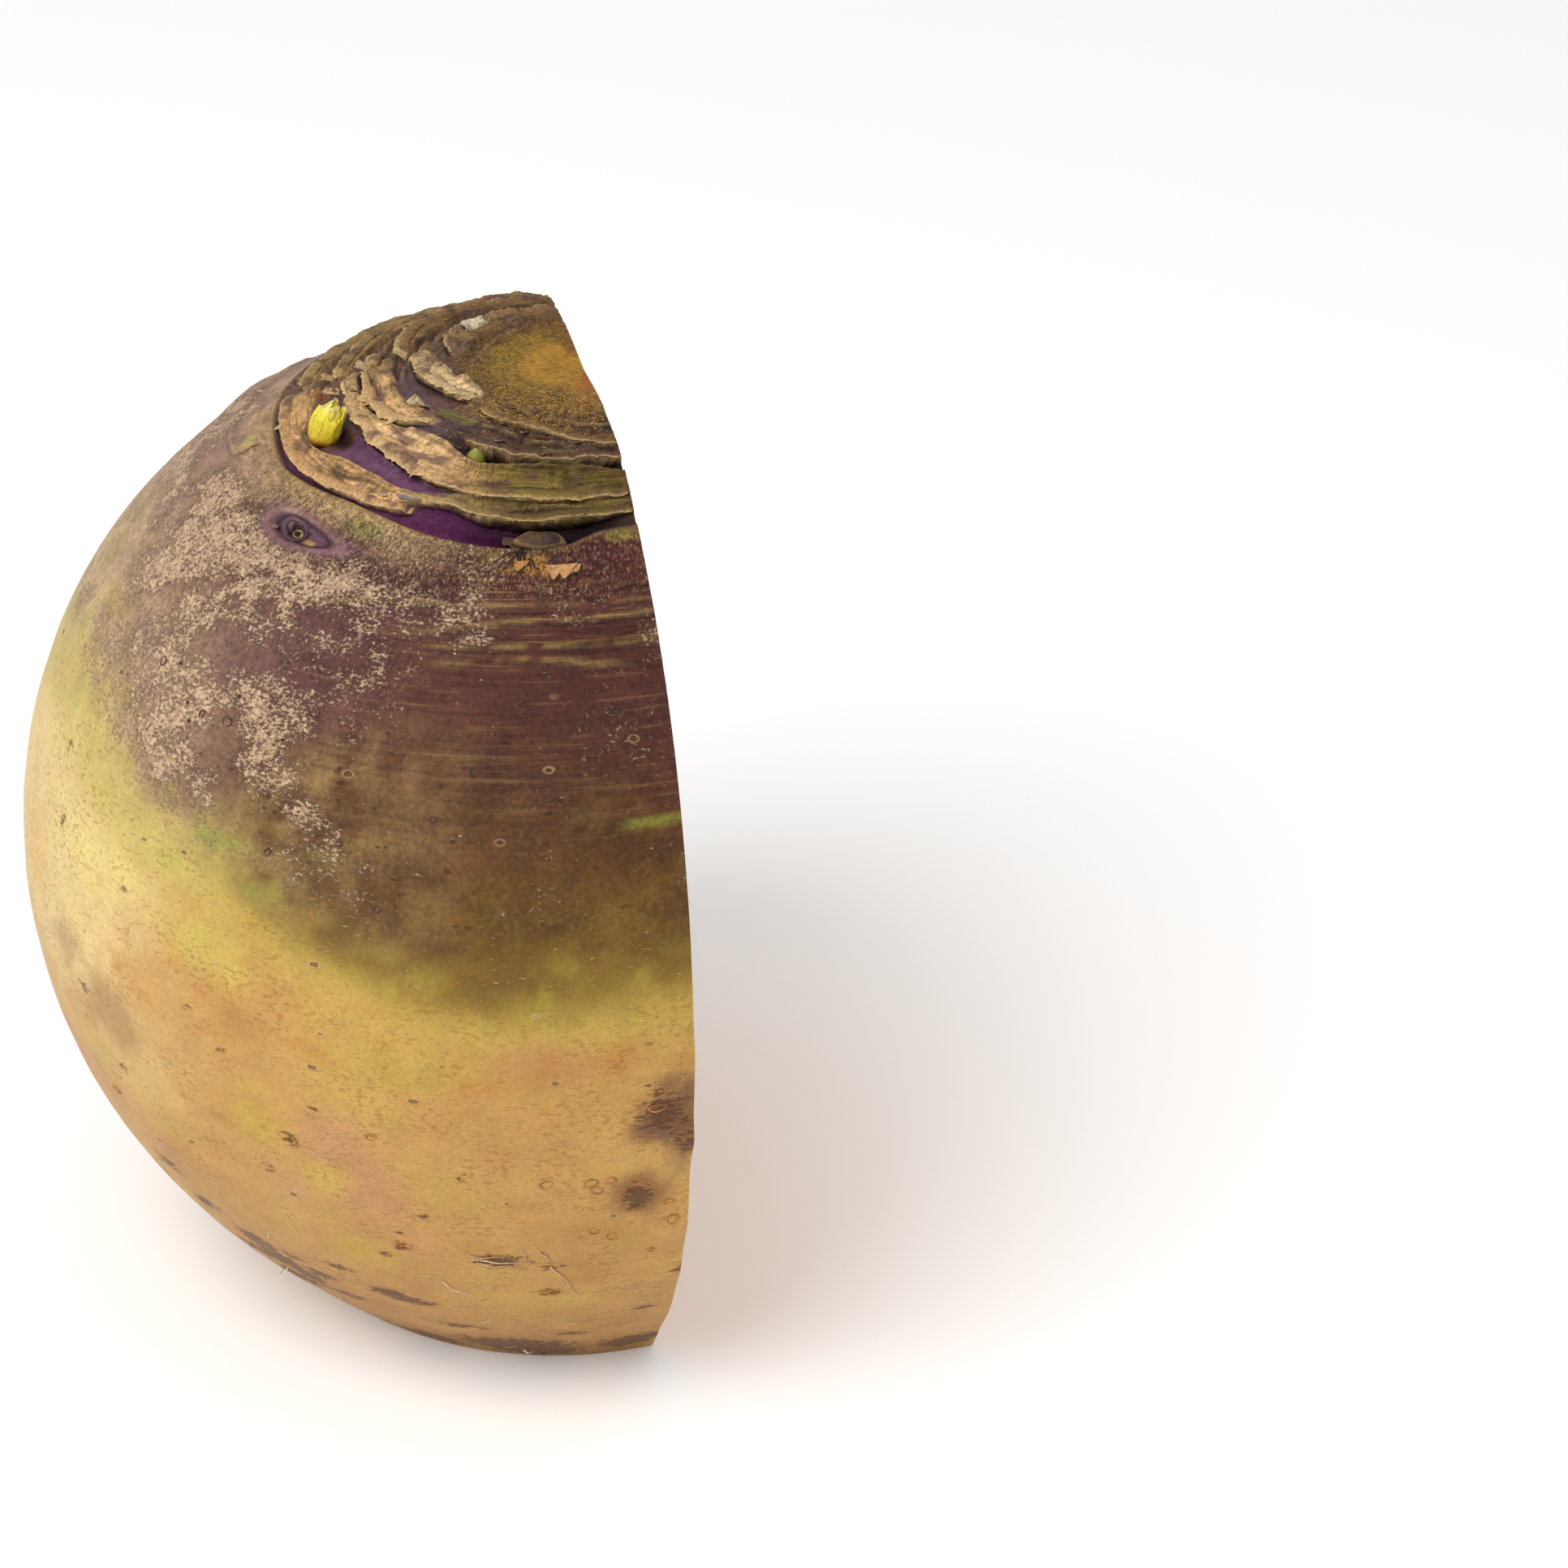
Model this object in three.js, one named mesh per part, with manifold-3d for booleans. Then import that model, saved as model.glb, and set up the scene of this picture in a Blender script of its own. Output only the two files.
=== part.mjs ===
// Half of a rutabaga: one root, cut in two from crown to tip, standing on its trimmed root end.
// It is one solid, because the root, the ledges its leaves left on the crown and its buds grew as one.
// Millimetres, +Z up. The cut face looks along +X and the skin bulges towards -X.
// Two numbers place anything on the skin: turn, the angle round the growth axis in degrees, from 0 on
// the cut edge at -Y over 90 at the middle of the skin to 180 on the cut edge at +Y, and run, the
// distance in millimetres down the outline from the middle of the crown.

import * as THREE from "three";
import { mergeVertices } from "three/addons/utils/BufferGeometryUtils.js";
import Module from "manifold-3d";

// ---- Driving dimensions -------------------------------------------------------------------------

const OUTLINE = [ // [radius, height] down the cut edge, from the crown to the trimmed root end
  [0, 117.4], [12, 118.1], [23, 116.6], [33.5, 111.2], [43.5, 103.8], [52, 94.1], [58, 82.4],
  [61.5, 69.5], [62.3, 55.5], [60.2, 41], [55, 26.5], [46.5, 12.6], [35, 0],
];
const OVALITY = 0.128; // how much further the skin stands out at the middle than on the cut edge
const CUT_X = 35.1; // plane of the cut face, which centres the part's box on the origin
const BASE_FADE = 8; // relief dies out over this run above the trimmed end, which stays flat

const SKIN_TURNS = 66; // facets round the skin
const CROWN_START = 9; // the leaf ledges lie between these two runs,
const CROWN_END = 38.5;
const CROWN_STEP = 0.72; // in rings this far apart
const RINGS_INSIDE = [3, 6]; // rings on the smooth middle of the crown
const RINGS_BELOW = 18; // rings down the flank to the trimmed end

// ---- Smooth root body ---------------------------------------------------------------------------

const outline = new THREE.SplineCurve(OUTLINE.map(([r, z]) => new THREE.Vector2(r, z)));
outline.arcLengthDivisions = 1200;
const RUN_END = outline.getLength();

const degrees = THREE.MathUtils.degToRad;
const gauss = (x, width) => Math.exp(-(x * x) / (width * width));
const smooth = (x, low, high) => THREE.MathUtils.smoothstep(x, low, high);

// Point of the skin at a turn and run, lifted along the outline's normal.
function skinPoint(turn, run, lift) {
  const share = THREE.MathUtils.clamp(run / RUN_END, 0, 1);
  const at = outline.getPointAt(share);
  const along = outline.getTangentAt(share);
  const upFade = Math.min(1, (RUN_END - run) / BASE_FADE);
  const angle = degrees(turn);
  const radius = at.x * (1 + OVALITY * Math.sin(angle)) - lift * along.y;
  return new THREE.Vector3(
    CUT_X - radius * Math.sin(angle),
    -radius * Math.cos(angle),
    at.y + lift * along.x * upFade,
  );
}

// ---- Relief of the skin -------------------------------------------------------------------------

// Each fallen leaf left a ledge part of the way round the crown: a tread that climbs outwards to a lip
// and drops behind it into a groove. lip lists [turn, run] along the lip, and the ledge lies between
// the first and the last. tread is its width, rise the lip's height, and the groove behind the lip is
// groove deep and closes reach after it.
const LEAF_LEDGES = [
  { tread: 3.0, rise: 0.4, groove: 0.6, reach: 1.8, lip: [[-25, 19.6], [0, 19.5], [30, 18.2], [45, 15.6], [62, 13.8]] },
  { tread: 3.6, rise: 1.0, groove: 0.8, reach: 1.8, lip: [[62, 14.6], [75, 16.2], [90, 17.6], [104, 18.6], [124, 17.4]] },
  { tread: 2.6, rise: 0.5, groove: 1.7, reach: 3.2, lip: [[-25, 22.2], [0, 22.2], [18, 22.4], [34, 21.0], [52, 18.8]] },
  { tread: 3.4, rise: 1.0, groove: 0.7, reach: 1.8, lip: [[56, 19.6], [70, 22.2], [84, 23.3], [98, 23.4], [122, 21.4]] },
  { tread: 3.4, rise: 0.9, groove: 1.0, reach: 2.0, lip: [[-30, 28.1], [0, 28.1], [20, 28.0], [36, 27.3], [51, 27.6],
    [64, 26.8], [78, 26.0], [90, 25.8], [112, 24.2]] },
  { tread: 1.3, rise: 0.4, groove: 0.4, reach: 1.0, lip: [[-30, 29.4], [0, 29.4], [20, 29.5], [48, 29.0]] },
  { tread: 3.0, rise: 0.8, groove: 1.6, reach: 2.4, lip: [[-30, 30.6], [0, 30.5], [20, 31.0], [33, 30.3], [45, 30.8],
    [57, 32.2], [72, 33.2], [82, 34.1], [92, 34.0], [104, 33.0], [130, 31.4]] },
  { tread: 3.2, rise: 1.0, groove: 0.9, reach: 2.0, lip: [[112, 14.8], [135, 17.6], [160, 18.8], [205, 17.4]] },
  { tread: 3.6, rise: 1.1, groove: 1.1, reach: 2.4, lip: [[108, 22.2], [130, 24.6], [155, 24.0], [205, 22.2]] },
  { tread: 3.4, rise: 1.0, groove: 1.4, reach: 2.6, lip: [[106, 29.0], [128, 30.6], [150, 31.6], [205, 29.2]] },
];
const LEDGE_TAPER = 12; // degrees over which a ledge dies out at each end
const LIP_DROP = 1.0; // run over which a lip falls into its groove
const WORN_AT_CUT = 0.5; // the ledges stand this much lower at the cut edges than inside

const lips = LEAF_LEDGES.map(({ lip }) => new THREE.CubicInterpolant(
  lip.map(([turn]) => turn), lip.map(([, run]) => run), 1, [0],
));

function ledgeRelief(number, turn, run) {
  const { tread, rise, groove, reach, lip } = LEAF_LEDGES[number];
  const [from, to] = [lip[0][0], lip[lip.length - 1][0]];
  if (turn <= from || turn >= to) return 0;
  const fade = smooth(turn, from, from + LEDGE_TAPER) * (1 - smooth(turn, to - LEDGE_TAPER, to));
  const past = run - lips[number].evaluate(turn)[0];
  if (past <= 0) return fade * rise * Math.pow(Math.max(0, 1 + past / tread), 1.4);
  const drop = smooth(past, 0, LIP_DROP);
  const floor = groove * (1 - smooth(past, LIP_DROP, reach));
  return fade * (rise * (1 - drop) - floor * drop);
}

// The deep fold under the lowest ledge, where the stem meets the swollen root, the recess above the
// olive ledge, the hollow a bud stands in, and the root's shoulder, which swells beyond the fold.
const FOLDS = [
  { turn: 19, run: 33.4, wide: 13, tall: 1.8, depth: 1.9 },
  { turn: 22, run: 23.6, wide: 18, tall: 1.0, depth: 0.7 },
  { turn: 84, run: 27.8, wide: 7, tall: 1.4, depth: 1.4 },
  { turn: 30, run: 37.5, wide: 50, tall: 3.2, depth: -0.6 },
];

// Swellings (+) and dents (-): the knobbly scab on the near cut edge, the ring round the sleeping eye
// and its pit, and the knuckles where rootlets were trimmed from the far cut edge.
const KNOBS = [
  { turn: 0, run: 106.5, wide: 3.5, height: 0.9 },
  { turn: 0, run: 112.5, wide: 2.5, height: -0.9 },
  { turn: 0, run: 118, wide: 4, height: 0.4 },
  { turn: 64.6, run: 40.2, wide: 4.2, height: 0.9 },
  { turn: 64.6, run: 40.2, wide: 1.7, height: -1.3 },
  { turn: 21, run: 37.6, wide: 3.2, height: 0.6 },
  { turn: 180, run: 126, wide: 3.5, height: 1.1 },
  { turn: 176, run: 134.5, wide: 3.2, height: 1.2 },
  { turn: 180, run: 143, wide: 3.4, height: 1.0 },
  { turn: 128, run: 44, wide: 4.5, height: 0.8 },
];

// Broad unevenness of the root: waves [height, waves round, waves down, phase].
const SWELLS = [[0.3, 2, 1.5, 0.4], [0.25, 3, 2.5, 2.1], [0.15, 5, 3.5, 4.4]];

function relief(turn, run) {
  let lift = 0;
  for (let number = 0; number < LEAF_LEDGES.length; number++) lift += ledgeRelief(number, turn, run);
  for (const fold of FOLDS) {
    lift -= fold.depth * gauss(turn - fold.turn, fold.wide) * gauss(run - fold.run, fold.tall);
  }
  lift *= 1 - WORN_AT_CUT * Math.max(gauss(turn, 7), gauss(180 - turn, 7));
  const radius = outline.getPointAt(Math.min(1, run / RUN_END)).x;
  for (const knob of KNOBS) {
    const across = degrees(turn - knob.turn) * radius;
    lift += knob.height * gauss(Math.hypot(across, run - knob.run), knob.wide);
  }
  const flank = smooth(run, CROWN_START, CROWN_END + 20);
  for (const [height, round, down, phase] of SWELLS) {
    const wave = Math.cos(round * degrees(turn) + phase) * Math.sin(down * Math.PI * (run / RUN_END) + phase);
    lift += flank * height * wave;
  }
  return lift;
}

// ---- Closed mesh of the half --------------------------------------------------------------------

// Runs of the rings: sparse on the middle of the crown, close on the ledges, growing down the flank.
function ringRuns() {
  const runs = [...RINGS_INSIDE];
  for (let run = CROWN_START; run < CROWN_END; run += CROWN_STEP) runs.push(run);
  for (let i = 1; i <= RINGS_BELOW; i++) {
    const share = i / RINGS_BELOW;
    runs.push(CROWN_END + (RUN_END - CROWN_END) * (0.45 * share + 0.55 * share * share * (2 - share)));
  }
  return runs;
}

// Skin quads between rings, a fan to the pole, and the two flat cuts triangulated inside their edges.
function rootGeometry() {
  const runs = ringRuns();
  const rings = runs.length;
  const row = SKIN_TURNS + 1;
  const points = [skinPoint(0, 0, 0)];
  for (const run of runs) {
    for (let i = 0; i < row; i++) {
      const turn = (180 * i) / SKIN_TURNS;
      points.push(skinPoint(turn, run, relief(turn, run)));
    }
  }
  const index = (ring, i) => 1 + ring * row + i;
  const faces = [];
  for (let i = 0; i < SKIN_TURNS; i++) {
    faces.push(0, index(0, i + 1), index(0, i));
    for (let ring = 0; ring < rings - 1; ring++) {
      const [a, b] = [index(ring, i), index(ring, i + 1)];
      const [c, d] = [index(ring + 1, i + 1), index(ring + 1, i)];
      faces.push(a, b, c, a, c, d);
    }
  }
  const cutLoop = [0];
  for (let ring = 0; ring < rings; ring++) cutLoop.push(index(ring, 0));
  for (let ring = rings - 1; ring >= 0; ring--) cutLoop.push(index(ring, SKIN_TURNS));
  fillFlat(points, faces, cutLoop, (p) => [p.y, p.z]);
  const baseLoop = [];
  for (let i = SKIN_TURNS; i >= 0; i--) baseLoop.push(index(rings - 1, i));
  fillFlat(points, faces, baseLoop, (p) => [p.y, p.x]);
  const geometry = new THREE.BufferGeometry().setFromPoints(points);
  geometry.setIndex(faces);
  return geometry;
}

// Triangulates the flat face inside a loop of point numbers, seen from outside the solid.
function fillFlat(points, faces, loop, flatten) {
  const contour = loop.map((n) => new THREE.Vector2(...flatten(points[n])));
  for (const triangle of THREE.ShapeUtils.triangulateShape(contour, [])) {
    faces.push(...triangle.map((corner) => loop[corner]));
  }
}

// ---- Buds ---------------------------------------------------------------------------------------

// Buds sit in the corner above a ledge, sunk into it and leaning out with the skin's normal.
// tall and wide are the size above the skin; ribs are the edges of the rolled leaflets.
const BUDS = [
  { turn: 82.5, run: 29.8, tall: 5.2, wide: 4.3, ribs: 5, blunt: 0.5, sides: 20 },
  { turn: 43, run: 22.9, tall: 2.2, wide: 2.6, ribs: 3, blunt: 0.6, sides: 12 },
  { turn: 119, run: 21.3, tall: 2.0, wide: 1.9, ribs: 4, blunt: 0.6, sides: 12 },
  { turn: 20.5, run: 34.4, tall: 2.4, wide: 3.0, ribs: 3, blunt: 0.8, sides: 12 },
  { turn: 64.6, run: 40.2, tall: 1.6, wide: 1.9, ribs: 3, blunt: 0.8, sides: 9 },
];
const BUD_ROOT = 2.2; // how far a bud's foot is sunk into the root
const BUD_RINGS = 6;
const RIB_SHARE = 0.14; // height of a rib against the bud's radius

// A closed bud along +Z, its foot at -BUD_ROOT: a superellipse turned round, with ribs that twist upwards.
function budGeometry({ tall, wide, ribs, blunt, sides }) {
  const height = tall + BUD_ROOT;
  const points = [new THREE.Vector3(0, 0, -BUD_ROOT)];
  for (let ring = 1; ring < BUD_RINGS; ring++) {
    const share = ring / BUD_RINGS;
    const swell = Math.pow(Math.sin(Math.PI * Math.pow(share, 0.8)), blunt);
    for (let i = 0; i < sides; i++) {
      const angle = (2 * Math.PI * i) / sides;
      const rib = 1 + RIB_SHARE * Math.cos(ribs * angle + 2 * share);
      const radius = (wide / 2) * swell * rib;
      points.push(new THREE.Vector3(
        radius * Math.cos(angle), radius * Math.sin(angle), height * share - BUD_ROOT,
      ));
    }
  }
  points.push(new THREE.Vector3(0, 0, tall));
  const index = (ring, i) => 1 + (ring - 1) * sides + (i % sides);
  const last = points.length - 1;
  const faces = [];
  for (let i = 0; i < sides; i++) {
    faces.push(0, index(1, i + 1), index(1, i));
    faces.push(last, index(BUD_RINGS - 1, i), index(BUD_RINGS - 1, i + 1));
    for (let ring = 1; ring < BUD_RINGS - 1; ring++) {
      const [a, b] = [index(ring, i), index(ring, i + 1)];
      const [c, d] = [index(ring + 1, i + 1), index(ring + 1, i)];
      faces.push(a, b, c, a, c, d);
    }
  }
  const geometry = new THREE.BufferGeometry().setFromPoints(points);
  geometry.setIndex(faces);
  return geometry;
}

// Stands a bud on the skin, pointing between straight up and the skin's normal.
function placedBud(bud) {
  const foot = skinPoint(bud.turn, bud.run, relief(bud.turn, bud.run));
  const above = skinPoint(bud.turn, bud.run, relief(bud.turn, bud.run) + 1);
  const lean = above.sub(foot).add(new THREE.Vector3(0, 0, 0.6)).normalize();
  const turned = new THREE.Quaternion().setFromUnitVectors(new THREE.Vector3(0, 0, 1), lean);
  const matrix = new THREE.Matrix4().compose(foot, turned, new THREE.Vector3(1, 1, 1));
  return budGeometry(bud).applyMatrix4(matrix);
}

// ---- One solid ----------------------------------------------------------------------------------

const wasm = await Module();
wasm.setup();

function solidFrom(geometry) {
  const bare = mergeVertices(geometry, 1e-4);
  return new wasm.Manifold(new wasm.Mesh({
    numProp: 3,
    vertProperties: bare.attributes.position.array,
    triVerts: new Uint32Array(bare.index.array),
  }));
}

function geometryFrom(solid) {
  const mesh = solid.getMesh();
  const geometry = new THREE.BufferGeometry();
  geometry.setAttribute("position", new THREE.BufferAttribute(mesh.vertProperties, mesh.numProp));
  geometry.setIndex(new THREE.BufferAttribute(mesh.triVerts, 1));
  geometry.computeVertexNormals();
  return geometry;
}

let half = solidFrom(rootGeometry());
for (const bud of BUDS) half = half.add(solidFrom(placedBud(bud)));

const skin = new THREE.MeshStandardMaterial({ color: "#8a6a55", roughness: 0.6, metalness: 0 });
const root = new THREE.Mesh(geometryFrom(half), skin);
root.name = "rutabaga_half";

const group = new THREE.Group();
group.add(root);

export default group;
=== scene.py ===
import functools
import math
from types import SimpleNamespace

import bpy
import numpy as np
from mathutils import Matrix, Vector


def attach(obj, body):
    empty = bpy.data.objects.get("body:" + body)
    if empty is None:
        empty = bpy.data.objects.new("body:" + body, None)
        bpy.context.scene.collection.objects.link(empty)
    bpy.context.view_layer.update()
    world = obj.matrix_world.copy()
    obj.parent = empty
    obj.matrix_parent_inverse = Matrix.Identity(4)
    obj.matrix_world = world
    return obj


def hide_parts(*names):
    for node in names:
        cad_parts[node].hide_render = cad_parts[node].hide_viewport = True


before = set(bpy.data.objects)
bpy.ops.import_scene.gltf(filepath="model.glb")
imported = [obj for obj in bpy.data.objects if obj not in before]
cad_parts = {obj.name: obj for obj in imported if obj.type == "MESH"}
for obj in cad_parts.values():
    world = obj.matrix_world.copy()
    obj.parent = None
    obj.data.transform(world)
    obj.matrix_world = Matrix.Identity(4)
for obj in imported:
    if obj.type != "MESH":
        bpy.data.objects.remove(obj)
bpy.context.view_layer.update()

# ---- The root ---------------------------------------------------------------------------------
# Half a rutabaga grown as one piece: thin skin over firm flesh, purple and corky where the leaves
# grew, yellow below. It was cut from crown to tip with a knife, and its thin root end was trimmed
# flat, so that it stands.

MM = 0.001
OUTLINE = np.array([  # radius and height of the skin along the cut edge, in mm, from the crown down
    (0, 117.4), (12, 118.1), (23, 116.6), (33.5, 111.2), (43.5, 103.8), (52, 94.1), (58, 82.4),
    (61.5, 69.5), (62.3, 55.5), (60.2, 41), (55, 26.5), (46.5, 12.6), (35, 0)])
OVALITY = 0.128  # how much further the skin reaches behind the cut than along it
SPREAD = 1.06  # mean effect of the ovality on lengths round the root
CUT_X = 35.1


def outline_table(steps=2400):
    """Smooth curve through the outline's points: each span blends its two end points with slopes
    taken from the neighbours on either side. Returns run (length along the curve), radius, height."""
    ends = len(OUTLINE) - 1
    t = np.linspace(0, ends, steps)
    i = np.minimum(t.astype(int), ends - 1)
    w = (t - i)[:, None]
    p0 = OUTLINE[np.where(i == 0, i, i - 1)]
    p1, p2 = OUTLINE[i], OUTLINE[i + 1]
    p3 = OUTLINE[np.minimum(i + 2, ends)]
    v0, v1 = (p2 - p0) / 2, (p3 - p1) / 2
    p = (2 * p1 - 2 * p2 + v0 + v1) * w**3 + (-3 * p1 + 3 * p2 - 2 * v0 - v1) * w**2 + v0 * w + p1
    run = np.concatenate([[0], np.cumsum(np.hypot(*np.diff(p, axis=0).T))])
    return run, p[:, 0], p[:, 1]


RUN, RADIUS, HEIGHT = outline_table()
RUN_END = RUN[-1]


def skin_point(turn, run, lift=0.0, push=0.0):
    """Point of the skin at a turn (degrees round the growth axis, 0 and 180 on the cut edges) and a
    run (mm down the outline), raised by lift along the outline's normal and moved by push down it."""
    radius, height = np.interp(run, RUN, RADIUS), np.interp(run, RUN, HEIGHT)
    step = 0.2
    along_r = np.interp(run + step, RUN, RADIUS) - np.interp(run - step, RUN, RADIUS)
    along_z = np.interp(run + step, RUN, HEIGHT) - np.interp(run - step, RUN, HEIGHT)
    size = np.hypot(along_r, along_z)
    along_r, along_z = along_r / size, along_z / size
    foot = np.clip((RUN_END - run) / 8, 0, 1)
    a = np.radians(turn)
    r = radius * (1 + OVALITY * np.sin(a)) - lift * along_z + push * along_r
    z = height + (lift * along_r + push * along_z) * foot
    return np.stack([CUT_X - r * np.sin(a), -r * np.cos(a), z], -1)


def smooth(x, low, high):
    """0 below low, 1 above high, and an S-curve between them."""
    t = np.clip((x - low) / (high - low), 0, 1)
    return t * t * (3 - 2 * t)


def band(x, low, high, soft):
    """1 between low and high, falling to 0 over soft on either side."""
    return smooth(x, low - soft, low + soft) * (1 - smooth(x, high - soft, high + soft))


def hump(x, width):
    """Bell curve of height 1 at x = 0."""
    return np.exp(-((x / width) ** 2))


@functools.cache
def lattice_of(seed):
    """Seeded random numbers from -1 to 1 on a square lattice."""
    return np.random.default_rng(seed).uniform(-1, 1, (256, 256)).astype(np.float32)


def grain(u, v, seed):
    """Random hills from -1 to 1, one lattice cell wide, blended smoothly from a seeded lattice."""
    lattice = lattice_of(seed)
    i, j = np.floor(u).astype(int), np.floor(v).astype(int)
    a, b = u - i, v - j
    a, b = a * a * (3 - 2 * a), b * b * (3 - 2 * b)
    i0, i1, j0, j1 = i % 256, (i + 1) % 256, j % 256, (j + 1) % 256
    low = lattice[i0, j0] * (1 - a) + lattice[i1, j0] * a
    high = lattice[i0, j1] * (1 - a) + lattice[i1, j1] * a
    return low * (1 - b) + high * b


def cloud(u, v, seed, octaves=4):
    """Sum of grain at doubling frequency and halving height, about -1 to 1."""
    total = np.zeros(np.broadcast(u, v).shape)
    for k in range(octaves):
        total = total + grain(u * 2**k + 17 * k, v * 2**k + 31 * k, seed + k) / 2**k
    return total / 1.6


def curve_at(points, turn):
    """Value of a curve through (turn, value) points, with rounded knees."""
    t, value = np.array(points, float).T
    fine = np.arange(t[0], t[-1] + 0.5, 0.5)
    line = np.interp(fine, t, value)
    kernel = np.hanning(17)
    padded = np.pad(line, 8, mode="edge")
    return np.interp(turn, fine, np.convolve(padded, kernel / kernel.sum(), mode="valid"))


@functools.cache
def torn_line(seed, big, small):
    """Wander of a torn edge in mm over the turn: slow waves of height big, short teeth of height small."""
    fine = np.arange(-12, 192, 0.1)
    teeth = cloud(fine / 1.5, 0 * fine + 5, seed + 9)
    teeth = (teeth + np.abs(teeth)) * (0.12 + smooth(cloud(fine / 7, 0 * fine + 11, seed + 17), 0.1, 0.4))
    return fine, big * cloud(fine / 9, 0 * fine, seed) + small * teeth


def ragged(turn, seed, big, small):
    """Wander of a torn edge in mm at each turn."""
    return np.interp(turn, *torn_line(seed, big, small))


# Each leaf that fell left a scar: a corky band part of the way round the crown, between an inner and
# an outer edge given as (turn, run) points. The outer edge is a thin torn lip that hangs over.
SCARS = {
    "inner rim": dict(
        inner=[(-8, 18.4), (5, 18.2), (20, 16.4), (40, 14.6), (60, 13.4)],
        outer=[(-8, 20.9), (0, 20.7), (14, 19.2), (25, 17.2), (43, 16.2), (60, 15.0)],
        height=0.55, torn=0.25),
    "dark rim": dict(
        inner=[(-8, 21.4), (0, 21.2), (14, 19.7), (29, 18.4), (50, 17.2)],
        outer=[(-8, 23.3), (0, 23.2), (10, 22.4), (18, 22.7), (26, 22.4), (34, 22.0), (50, 20.8)],
        height=0.75, torn=0.35),
    "cream crescent": dict(
        inner=[(62, 13.4), (66, 12.8), (84, 12.9), (99, 14.4), (110, 15.9), (119, 17.0)],
        outer=[(62, 14.0), (72, 15.3), (82, 16.0), (90, 16.9), (98, 17.6), (106, 17.8), (119, 17.4)],
        height=1.1, torn=0.4),
    "torn leaf": dict(
        inner=[(60, 19.4), (66, 19.2), (72, 20.0), (83, 20.2), (96, 20.2), (116, 21.2)],
        outer=[(60, 20.2), (65, 21.2), (69, 22.2), (76, 22.9), (84, 23.2), (98, 23.2), (116, 22.6)],
        height=1.25, torn=0.45),
    "olive ledge": dict(
        inner=[(-8, 25.7), (0, 25.6), (7, 24.9), (14, 24.2), (22, 23.7), (29, 23.9), (38, 24.8), (44, 23.9),
               (50, 22.6), (56, 22.1), (62, 22.6), (67, 23.3), (76, 23.9), (87, 24.0), (95, 24.2),
               (110, 24.2)],
        outer=[(-8, 28.9), (32, 28.9), (42, 28.4), (49, 27.9), (57, 26.9), (63, 26.3), (73, 25.5),
               (82, 25.2), (92, 25.2), (110, 25.1)],
        height=1.15, torn=0.35),
    "thin ledge": dict(
        inner=[(-8, 29.4), (26, 29.3), (40, 29.2), (52, 30.2)],
        outer=[(-8, 31.4), (0, 31.3), (13, 31.2), (20, 31.8), (26, 31.9), (33, 31.2), (40, 30.4), (47, 31.2),
               (53, 32.0)], height=0.7, torn=0.3),
    "bud ledge": dict(
        inner=[(44, 30.5), (52, 30.3), (58, 29.8), (65, 29.6), (72, 29.8), (78, 31.0), (84, 31.3), (90, 30.8),
               (97, 29.4), (112, 29.0)],
        outer=[(44, 31.4), (49, 32.6), (54, 33.1), (60, 32.8), (68, 33.3), (76, 33.6), (86, 33.6), (94, 33.4),
               (112, 33.2)], height=1.0, torn=0.2),
    "far inner": dict(
        inner=[(112, 12.6), (135, 13.6), (160, 14.0), (188, 13.8)],
        outer=[(112, 14.2), (135, 17.0), (160, 17.6), (188, 16.8)], height=1.1, torn=0.45),
    "far middle": dict(
        inner=[(112, 18.8), (135, 19.6), (160, 19.4), (188, 18.8)],
        outer=[(112, 20.2), (135, 22.4), (160, 22.2), (188, 21.6)], height=1.6, torn=0.4),
    "far ledge": dict(
        inner=[(104, 25.6), (128, 24.6), (155, 24.2), (188, 23.8)],
        outer=[(104, 26.6), (128, 27.4), (155, 27.2), (188, 26.4)], height=1.5, torn=0.4),
    "far outer": dict(
        inner=[(108, 30.0), (130, 29.4), (155, 29.0), (188, 28.6)],
        outer=[(108, 31.4), (130, 32.6), (155, 32.4), (188, 31.8)], height=1.4, torn=0.3),
}
SHOULDER = [
    (-8, 33.7), (3, 33.3), (8, 33.8), (13, 35.4), (19, 36.5), (28, 36.0), (39, 35.4), (45, 34.8), (52, 34.1),
    (60, 33.8), (67, 34.2), (80, 35.0), (94, 34.3), (112, 34.4), (188, 33.6)
]
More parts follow.
